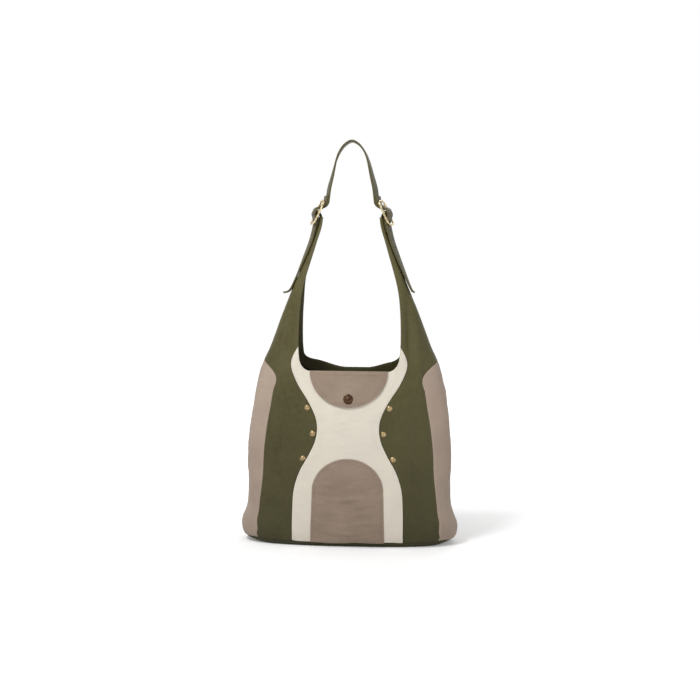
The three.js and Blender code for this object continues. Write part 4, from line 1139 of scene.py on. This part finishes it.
class HOBO_OT_side_panels(Builder, bpy.types.Operator):
    """Sew the four olive panels that rise into the ears"""

    bl_idname = "hobo.side_panels"
    bl_label = "Olive Side Panels"

    def build(self, sizes):
        for face_name, face in FACES:
            for side_name, side in SIDES:
                points, flip = mirrored(side_panel_points(), side, face)
                height, across = points[..., 2], lengths(points, 1)
                outer, distance = across[:, -1:] - across, edge_distance(points)
                tucked = bell(across, 1.5, 3.2)
                mouth = rolled(across, 1.6, 1.3) + groove(across, EAR_INSET, 0.3)
                ripple = 0.45 * noise(points, 24, 71) + 0.22 * noise(points, 9, 72)
                lift = ripple * np.clip(distance / 10, 0, 1) * np.clip((600 - height) / 160, 0.2, 1)
                lift = lift - np.where(height < TUCK_TOP, tucked, mouth)
                lift = lift - rolled(outer, 1.7, 1.1) - groove(outer, GUSSET_INSET, 0.3)
                wear = bell(distance, 0.55, 1.6)
                node = f"{face_name}_{side_name}_panel"
                sewn(node, raised(points, lift), "olive", sizes.shell_wall, flip, wear)


def cream_crinkle(points):
    """Small upright crinkles of the centre panel, in mm, which the arch over it follows."""
    return 0.3 * noise(points * np.array([1, 1, 0.45]), 7, 11) + 0.42 * noise(points, 19, 12)


class HOBO_OT_centre_panels(Builder, bpy.types.Operator):
    """Sew the cream panels and the taupe arches on the front and the back"""

    bl_idname = "hobo.centre_panels"
    bl_label = "Centre and Arch Panels"

    def build(self, sizes):
        patch = sizes.patch_lift / MM
        for face_name, face in FACES:
            points, flip = mirrored(centre_panel_points(), 1, face)
            distance, sideways = edge_distance(points, True), edge_distance(points)
            lift = patch + 0.35 - rolled(distance, 1.5, 1.2) - groove(sideways, CREAM_INSET, 0.4)
            lift = lift + cream_crinkle(points) * np.clip(distance / 6, 0, 1)
            wear = bell(sideways, 0.8, 1.4)
            node = f"{face_name}_centre_panel"
            sewn(node, raised(points, lift), "cream", sizes.shell_wall, flip, wear)

            points, flip = mirrored(arch_panel_points(), 1, face)
            x, z = points[..., 0], points[..., 2]
            inside = arch_distance(x, z, ARCH_SPRING, ARCH_SPRING_WIDTH, ARCH_RISE, arch_leg(z))
            crinkle = 0.5 * noise(points * np.array([0.4, 1, 1]), 9, 21) + 0.3 * noise(points, 5, 22)
            folds = fold_height(points, ARCH_FOLDS) * (1 if face < 0 else 0.65)
            lift = 2 * patch + 0.75 - rolled(inside, 1.4, 0.9) - groove(inside, ARCH_INSET, 0.4)
            lift = lift + cream_crinkle(points) + np.maximum(crinkle + folds, -0.9) * np.clip(inside / 9, 0, 1)
            wear = bell(inside, 0.35, 1.5)
            node = f"{face_name}_arch_panel"
            sewn(node, raised(points, lift), "taupe", sizes.shell_wall, flip, wear)


class HOBO_OT_gussets(Builder, bpy.types.Operator):
    """Sew the arched side panels"""

    bl_idname = "hobo.gussets"
    bl_label = "Side Gussets"

    def build(self, sizes):
        for side_name, side in SIDES:
            points, flip = mirrored(gusset_points(), side, -1)
            y, z = points[..., 1], points[..., 2]
            half = GUSSET_LEG[-1][1]
            inside = arch_distance(y, z, GUSSET_SPRING, half, GUSSET_RISE, gusset_edge(z), GUSSET_SQUARENESS)
            inside = np.maximum(inside, 0)
            crinkle = 0.9 * noise(points * np.array([1, 0.5, 1]), 24, 31) + 0.35 * noise(points, 8, 32)
            slack = np.sin(z / 13 + y / 20) * bell(z, 1.1, 34, 40)
            slack = slack + np.sin(z / 10 - y / 15) * bell(z, 0.8, 26, 290)
            lift = (crinkle + slack) * np.clip(inside / 10, 0, 1) - rolled(inside, 1.7, 1.1)
            wear = bell(inside, 0.3, 1.6)
            node = f"{side_name}_gusset"
            sewn(node, raised(points, lift), "gusset", sizes.shell_wall, flip, wear)


class HOBO_OT_base(Builder, bpy.types.Operator):
    """Make the base panel and the lining over it, and give the base board its finish"""

    bl_idname = "hobo.base"
    bl_label = "Base"

    def build(self, sizes):
        around = np.linspace(-math.pi / 2, 1.5 * math.pi, 289)
        # Rings from the middle of the underside outward, and up the wall to its edge under the cloth.
        flat = [(share, 0) for share in (0.02, 0.2, 0.4, 0.6, 0.75, 0.86, 0.94, 0.98)]
        side = [(1, h) for h in (0, 0.35, 1, 1.8, 2.8, 4, 5.2, 6.4, 7.6, 8.8, 10, 11.5, 13, 15, 17, 19)]
        rows = []
        for share, height in flat + side:
            inset = np.interp(height, [BASE_SEAM - 2.5, BASE_SEAM + 1, BASE_SEAM + 8], [0.6, 2.2, 2.6])
            across, along = share * (1 - inset / section_at(height)[:2])
            rows.append(skin(around, height + 0 * around) * np.array([across, along, 1]))
        points = np.array(rows)
        height = points[..., 2]
        wave = 0.5 * noise(points, 26, 41) * np.clip(height / 6, 0, 1) * np.clip((BASE_SEAM + 2 - height) / 4, 0, 1)
        points = points + unit(points * np.array([1, 1, 0])) * wave[..., None]
        sewn("base_panel", points, "base", sizes.shell_wall, close=True)

        shares = np.array([0.02, 0.25, 0.5, 0.7, 0.85, 0.95, 0.99, 1])[:, None]
        points = skin(around + 0 * shares, LINING_FLOOR + 0 * (around + shares))
        points = points * np.stack([shares * 0.965, shares * 0.9, 1 + 0 * shares], -1)
        run = lengths(points, 0)
        points[..., 2] += 0.35 * noise(points, 30, 42) * np.clip(run[-1:] - run, 0, 8) / 8
        sewn("lining_base", points, "lining", sizes.inner_wall, close=True)
        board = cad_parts["base_board"].data
        board.materials.clear()
        board.materials.append(finish("board"))


class HOBO_OT_inside(Builder, bpy.types.Operator):
    """Sew the hem facings, the lining and the slip pocket"""

    bl_idname = "hobo.inside"
    bl_label = "Facings, Lining and Pocket"

    def build(self, sizes):
        low_rows = FACING_DEPTH - np.array([0.8, 0.3, 0])
        grow = np.concatenate([EDGE_ROWS, np.arange(9, FACING_DEPTH, 3.0), low_rows])
        wall, inner_wall = sizes.shell_wall / MM, sizes.inner_wall
        for face_name, face in FACES:
            points, flip = mirrored(mouth_strip(grow, FACING_TOP)[::-1], 1, face)
            out = grow[::-1][:, None] + 0 * points[..., 0]
            lift = bell(out, 0.9, 1.4) - groove(out, FACING_DEPTH - 3, 0.25) - wall - FACING_GAP
            sewn(f"{face_name}_facing", raised(points, lift), "base", inner_wall, flip)

            angles = np.radians(np.linspace(-179.9, -0.1, 90))
            scan = np.arange(LINING_LOW, LINING_TOP + 0.5, 0.5)
            free = np.abs(skin(angles, scan[:, None])[..., 0]) >= mouth_edge(scan, LINING_MARGIN)[:, None]
            tops = np.where(free[0], scan[np.argmin(free, axis=0)], LINING_LOW)
            tops = np.where(free.all(axis=0), LINING_TOP, tops)
            heights = LINING_FOOT + np.linspace(0, 1, 90)[:, None] * (tops - LINING_FOOT)
            points, flip = mirrored(skin(angles + 0 * heights, heights), 1, face)
            lift = 0.5 * noise(points, 20, 51) - wall - LINING_GAP
            sewn(f"lining_{face_name}", raised(points, lift), "lining", inner_wall, flip)

        across = np.linspace(-POCKET_HALF_WIDTH, POCKET_HALF_WIDTH, 40)
        points = on_front(*np.meshgrid(across, np.linspace(POCKET_LOW, POCKET_HIGH, 30)))
        lift = np.full(points.shape[:2], -wall - POCKET_GAP)
        sewn("pocket_back", raised(points, lift), "lining", inner_wall)


# The press stud: each part's name, body, node, steps round, and outline as radius and height in mm.
PRESS_STUD = (
    ("cap", "flap", "flap_snap_cap", 64, (
        (0, 2.3), (2.2, 2.25), (3.6, 2.05), (4.0, 1.75), (4.4, 1.7), (4.9, 1.95), (6.2, 1.9), (7.6, 1.45),
        (8.5, 0.85), (8.95, 0.3), (9.0, 0.0), (8.8, -0.25), (7.5, -0.3), (0, -0.3),
    )),
    ("socket", "flap", "flap_snap_socket", 40, (
        (2.9, -2.6), (6.0, -2.6), (6.5, -2.3), (6.5, -1.7), (6.2, -1.45), (3.2, -1.45), (2.9, -1.7), (2.9, -2.6),
    )),
    ("stud", "bag", "front_snap_stud", 40, (
        (0, 1.2), (1.6, 1.2), (2.3, 1.0), (2.5, 0.6), (2.3, 0.35), (2.4, 0.2), (5.4, 0.15), (5.9, 0.0),
        (5.9, -0.3), (0, -0.3),
    )),
    ("post", "bag", "front_snap_post", 32, (
        (0, -0.3), (1.3, -0.3), (1.3, -3.6), (5.6, -3.7), (6.0, -3.9), (6.0, -4.2), (0, -4.2),
    )),
)


class HOBO_OT_flap(Builder, bpy.types.Operator):
    """Sew the half-moon flap and fix its press stud"""

    bl_idname = "hobo.flap"
    bl_label = "Flap and Press Stud"

    def build(self, sizes):
        share = (spaced(2 * FLAP_HALF_WIDTH, 38) - FLAP_HALF_WIDTH) / FLAP_HALF_WIDTH
        lows = HEM_HEIGHT - FLAP_DROP * np.sqrt(1 - np.minimum(share ** 2, 1))
        top = HEM_HEIGHT + 0.6
        heights = (lows[:, None] + spaced(top - lows, 26)).T
        across = share * FLAP_HALF_WIDTH + 0 * heights
        points = on_front(across, heights)
        inside = arch_distance(across, heights, HEM_HEIGHT, FLAP_HALF_WIDTH, -FLAP_DROP, FLAP_HALF_WIDTH)
        crinkle = 0.35 * noise(points, 11, 61) + 0.22 * noise(points, 5, 62)
        dent = bell(np.hypot(across, heights - FLAP_STUD_HEIGHT), 0.9, 13)
        lift = 3.6 + 1.5 * np.clip((HEM_HEIGHT - heights) / FLAP_DROP, 0, 1) - dent
        lift = lift + (crinkle + fold_height(points, FLAP_FOLDS)) * np.clip(inside / 10, 0, 1)
        lift = lift - rolled(np.minimum(inside, top - heights), 1.4, 1.1)
        lift = lift - groove(inside, FLAP_INSETS[0], 0.35, 0.7) - groove(inside, FLAP_INSETS[1], 0.4)
        wear = bell(inside, 0.45, 1.3)
        mesh = grid_mesh("front_flap", raised(points, lift), wear=wear)
        piece = new_piece("front_flap_cloth", mesh, finish("taupe"), None, ["front_flap"])
        thicken(piece, sizes.shell_wall)
        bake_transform(piece)

        turns = np.linspace(-math.pi, 0, 90)
        lines = []
        for inset in FLAP_INSETS:
            x, drop = (FLAP_HALF_WIDTH - inset) * np.cos(turns), (FLAP_DROP - inset) * np.sin(turns)
            lines.append(skin_line(x, HEM_HEIGHT + drop, -1))
        x = np.linspace(-62, 62, 80)
        lines.append(skin_line(x, 0 * x + HEM_HEIGHT - 6.5, -1))
        lines = [seated(line, "front_flap_cloth", 0.08) for line in lines]
        piece = stitched("flap_stitching", lines, "taupe_thread", None)
        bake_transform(piece)

        spot = skin_line(np.array([1e-3]), np.array([float(FLAP_STUD_HEIGHT)]), -1)
        seats = {"flap": seat(spot, "front_flap_cloth", 0.1), "bag": seat(spot, "front_centre_panel_cloth", 0)}
        for part, body, node, steps, outline in PRESS_STUD:
            shape = spun(outline, steps, seats[body])
            metal(f"press_stud_{part}", shape, "copper", body, node)


class HOBO_OT_waist_studs(Builder, bpy.types.Operator):
    """Set the six domed studs beside the waist"""

    bl_idname = "hobo.waist_studs"
    bl_label = "Domed Studs"

    def build(self, sizes):
        # Each stud's height and its distance from the centre panel.
        spots = (("upper", 253.0, 7.8), ("middle", 206.5, 7.6), ("lower", 161.0, 7.4))
        # Outlines as radius and height.
        cap = (
            (0, 2.7), (1.2, 2.65), (2.4, 2.4), (3.4, 1.95), (4.15, 1.35), (4.5, 0.9), (4.7, 0.65), (5.15, 0.55),
            (5.25, 0.3), (5.15, 0.05), (4.6, 0.0), (0, 0.0),
        )
        post = ((0, 0), (1.3, 0), (1.3, -2.6), (3.8, -2.65), (4.0, -2.8), (4.0, -3.1), (0, -3.1))
        for side_name, side in SIDES:
            for name, height, off in spots:
                z = np.array([height])
                spot = skin_line(side * (hourglass(z) + off), z, -1)
                place = seat(spot, f"front_{side_name}_panel_cloth", -0.1)
                for part, outline, steps in (("cap", cap, 36), ("post", post, 16)):
                    node = f"{side_name}_{name}_stud_{part}"
                    metal(f"{node}_metal", spun(outline, steps, place), "antique", "bag", node)


class HOBO_OT_straps(Builder, bpy.types.Operator):
    """Make the shoulder strap, the two holed tabs and the two chapes"""

    bl_idname = "hobo.straps"
    bl_label = "Straps"

    def build(self, sizes):
        path = shoulder_line()
        piece = strap("shoulder_strap", path, STRAP_WIDTH, STRAP_WALL)
        sharpened(piece.data)
        strap_stitching("shoulder_strap", path)
        for (side_name, side), curl in zip(SIDES, (LEFT_CURL, RIGHT_CURL)):
            self.tab(f"{side_name}_strap_tab", side, tab_line(curl))
            self.chape(f"{side_name}_chape", side)

    def tab(self, node, side, path):
        """A tab with its row of eight holes and the slot that its prong goes through."""
        piece = strap(node, path, STRAP_WIDTH, STRAP_WALL, side, True)
        run, out = lengths(path, 0), left_of(path)
        holes = bmesh.new()
        for k in range(HOLES):
            spot = run[-1] - FIRST_HOLE - HOLE_PITCH * k
            middle, way = upright(sampled(spot, run, path)), upright(sampled(spot, run, out))
            bmesh.ops.create_cone(
                holes, cap_ends=True, segments=20, radius1=HOLE_RADIUS * MM, radius2=HOLE_RADIUS * MM,
                depth=12 * MM, matrix=stand_on(*on_side(middle, way, side)),
            )
        # The slot is the hull of the prong, a little thicker, at the angles that it and the frame reach together.
        slot = bmesh.new()
        for lift in (-3, 0, 3, 6, 9):
            pin = Matrix.Rotation(math.radians(lift), 4, "Y") @ Matrix.Translation((3 * MM, 0, 14 * MM))
            bmesh.ops.create_cone(
                slot, cap_ends=True, segments=16, radius1=1.5 * MM, radius2=1.3 * MM, depth=26 * MM,
                matrix=buckle_place(side) @ pin,
            )
        bmesh.ops.convex_hull(slot, input=slot.verts[:])
        loose = [vert for vert in slot.verts if not vert.link_faces]
        bmesh.ops.delete(slot, geom=loose, context="VERTS")
        cut(piece, holes, slot)
        strap_stitching(node, path, side, True)

    def chape(self, node, side):
        """A band folded round the centre bar, with a slot for the prong and its ends on the ear."""
        middle = CHAPE_WALL / 2
        radius, outer, inner = BAR_RADIUS + 0.3 + middle, 0.3 + middle, -2.7 - middle
        # Both ends on the ear: how far off its outer line, and their heights.
        front = [(571, outer), (581, outer), (594, outer + 0.2)]
        back = [(598, inner), (581, inner), (567, inner)]
        front, back = ([(section_at(z)[0] + off, z) for z, off in part] for part in (front, back))
        loop = [
            (BUCKLE_X + radius * math.cos(angle), BUCKLE_Z + radius * math.sin(angle))
            for angle in np.linspace(-0.2, math.pi + 0.2, 12)
        ]
        piece = strap(node, spline(front + loop + back, 90), CHAPE_WIDTH, CHAPE_WALL, side)
        middle = Matrix.Translation((side * BUCKLE_X * MM, 0, CHAPE_SLOT_Z * MM))
        place = middle @ Matrix.Rotation(-TURN * side, 4, "Z") @ Matrix.Diagonal((0.04, CHAPE_SLOT * MM, 0.02, 1))
        slot = bmesh.new()
        bmesh.ops.create_cube(slot, size=1, matrix=place)
        cut(piece, slot)


class HOBO_OT_buckles(Builder, bpy.types.Operator):
    """Cast the two centre-bar buckles and their prongs"""

    bl_idname = "hobo.buckles"
    bl_label = "Buckles"

    def build(self, sizes):
        for side_name, side in SIDES:
            for part, body, shape in (("frame", "buckle", frame_shape), ("prong", "prong", prong_shape)):
                node = f"{side_name}_buckle_{part}"
                metal(f"{node}_metal", shape(side), "brass", f"{side_name}_{body}", node)


class HOBO_OT_stitching(Builder, bpy.types.Operator):
    """Sew the rows of stitches along the panels and the mouth"""

    bl_idname = "hobo.stitching"
    bl_label = "Panel Stitching"

    def build(self, sizes):
        for face_name, face in FACES:
            z = np.arange(12, TUCK_TOP, 2.0)
            lines = [skin_line(side * (hourglass(z) - CREAM_INSET), z, face) for _, side in SIDES]
            if face > 0:
                x = np.linspace(-66, 66, 60)
                lines.append(skin_line(x, 0 * x + HEM_HEIGHT - HEM_INSET, face))
            lines = [seated(line, f"{face_name}_centre_panel_cloth", STITCH_RAISE) for line in lines]
            stitched(f"{face_name}_cream_stitching", lines, "cream_thread")

            turns, leg = np.linspace(0, math.pi, 60), np.linspace(14, ARCH_SPRING, 40)
            half, rise = ARCH_SPRING_WIDTH - ARCH_INSET, ARCH_RISE - ARCH_INSET
            x = np.concatenate([np.full(40, half), half * np.cos(turns), np.full(40, -half)])
            z = np.concatenate([leg, ARCH_SPRING + rise * np.sin(turns), leg[::-1]])
            # The legs spread a little towards the foot.
            x = x * (1 + 0.045 * np.clip(1 - z / ARCH_SPRING, 0, 1))
            lines = [seated(skin_line(x, z, face), f"{face_name}_arch_panel_cloth", STITCH_RAISE)]
            stitched(f"{face_name}_arch_stitching", lines, "taupe_thread")

            z = np.arange(364, 566, 2.0)
            lines = []
            for side_name, side in SIDES:
                line = skin_line(side * (mouth_edge(z) + EAR_INSET), z, face)
                lines.append(seated(line, f"{face_name}_{side_name}_panel_cloth", STITCH_RAISE))
            stitched(f"{face_name}_ear_stitching", lines, "olive_thread")


class HOBO_OT_stage(Builder, bpy.types.Operator):
    """Set the floor, the lamps, the world and the camera"""

    bl_idname = "hobo.stage"
    bl_label = "Stage"

    def seen(self, tree, unseen, seen):
        """A strength for what the camera, mirrors and glass see, and another for the light that it gives."""
        rays = add(tree, "ShaderNodeLightPath").outputs
        first = math_node(tree, "MAXIMUM", rays["Is Camera Ray"], rays["Is Glossy Ray"])
        both = math_node(tree, "MAXIMUM", first, rays["Is Transmission Ray"])
        return ranged(tree, both, end=(unseen, seen))

    def build(self, sizes):
        bm = bmesh.new()
        bmesh.ops.create_grid(bm, x_segments=1, y_segments=1, size=6)
        floor = placed("floor", meshed(bm, "floor"))
        made, tree, shader = blank("pale paper floor")
        place = add(tree, "ShaderNodeTexCoord").outputs["Object"]
        near = add(tree, "ShaderNodeTexGradient", {"Vector": place}, gradient_type="SPHERICAL").outputs["Fac"]
        level = ranged(tree, near, end=(0.66, 0.1))
        wire(tree, shader, {
            "Base Color": linear("#ededed"), "Roughness": 0.9, "Specular IOR Level": 0.1,
            "Emission Color": (1, 1, 1, 1),
            "Emission Strength": math_node(tree, "MULTIPLY", level, self.seen(tree, 0, 1)),
        })
        floor.data.materials.append(made)

        world = bpy.data.worlds.new("studio")
        bpy.context.scene.world = world
        world.use_nodes = True
        tree = world.node_tree
        wire(tree, tree.nodes["Background"], {"Color": (1, 1, 1, 1), "Strength": self.seen(tree, 0.5, 1.0)})

        lamps = (
            ("key", (-0.7, -1.05, 1.75), 0.6, 24),
            ("fill", (1.5, -1.5, 0.9), 1.6, 6),
            ("back", (0.4, 1.6, 1.7), 1.4, 9),
        )
        for name, spot, size, power in lamps:
            lamp = bpy.data.lights.new(name, "AREA")
            lamp.shape, lamp.size, lamp.energy = "DISK", size, power
            held = placed(name, lamp)
            held.location = spot
            held.rotation_mode = "QUATERNION"
            held.rotation_quaternion = (Vector((0, 0, 0.3)) - Vector(spot)).to_track_quat("-Z", "Y")

        camera = placed("camera", bpy.data.cameras.new("camera"))
        azimuth, elevation, distance = math.radians(3.5), math.radians(4), 2.2
        back = Vector((
            math.sin(azimuth) * math.cos(elevation), -math.cos(azimuth) * math.cos(elevation), math.sin(elevation),
        ))
        target = Vector((-0.0013, 0, 0.3542))
        camera.location = target + back * distance
        camera.rotation_mode = "QUATERNION"
        roll = Quaternion((0, 0, 1), math.radians(0.45))
        camera.rotation_quaternion = (-back).to_track_quat("-Z", "Y") @ roll
        camera.data.sensor_width, camera.data.lens = 36, 61.3
        bpy.context.scene.camera = camera
        bpy.context.scene.view_settings.view_transform = "Standard"


BUILDERS = (
    HOBO_OT_stage, HOBO_OT_side_panels, HOBO_OT_centre_panels, HOBO_OT_gussets, HOBO_OT_base, HOBO_OT_inside,
    HOBO_OT_flap, HOBO_OT_waist_studs, HOBO_OT_straps, HOBO_OT_buckles, HOBO_OT_stitching,
)


class HOBO_PT_panel(bpy.types.Panel):
    """Sidebar panel that lists the bag's builders, sizes and colours."""

    bl_label = "Hobo Bag"
    bl_idname = "HOBO_PT_panel"
    bl_space_type = "VIEW_3D"
    bl_region_type = "UI"
    bl_category = "Hobo Bag"

    def draw(self, context):
        for builder in BUILDERS:
            self.layout.operator(builder.bl_idname)
        for group in (context.scene.hobo_sizes, context.scene.hobo_colours):
            box = self.layout.box()
            for name in group.__annotations__:
                box.prop(group, name)


CLASSES = (HoboSizes, HoboColours, *BUILDERS, HOBO_PT_panel)


def register():
    for kind in CLASSES:
        bpy.utils.register_class(kind)
    bpy.types.Scene.hobo_sizes = bpy.props.PointerProperty(type=HoboSizes)
    bpy.types.Scene.hobo_colours = bpy.props.PointerProperty(type=HoboColours)


def unregister():
    del bpy.types.Scene.hobo_colours
    del bpy.types.Scene.hobo_sizes
    for kind in reversed(CLASSES):
        bpy.utils.unregister_class(kind)


def main():
    register()
    bpy.ops.hobo.stage()
    bpy.ops.hobo.side_panels()
    bpy.ops.hobo.centre_panels()
    bpy.ops.hobo.gussets()
    bpy.ops.hobo.base()
    bpy.ops.hobo.inside()
    bpy.ops.hobo.flap()
    bpy.ops.hobo.waist_studs()
    bpy.ops.hobo.straps()
    bpy.ops.hobo.buckles()
    bpy.ops.hobo.stitching()


if __name__ == "__main__":
    main()
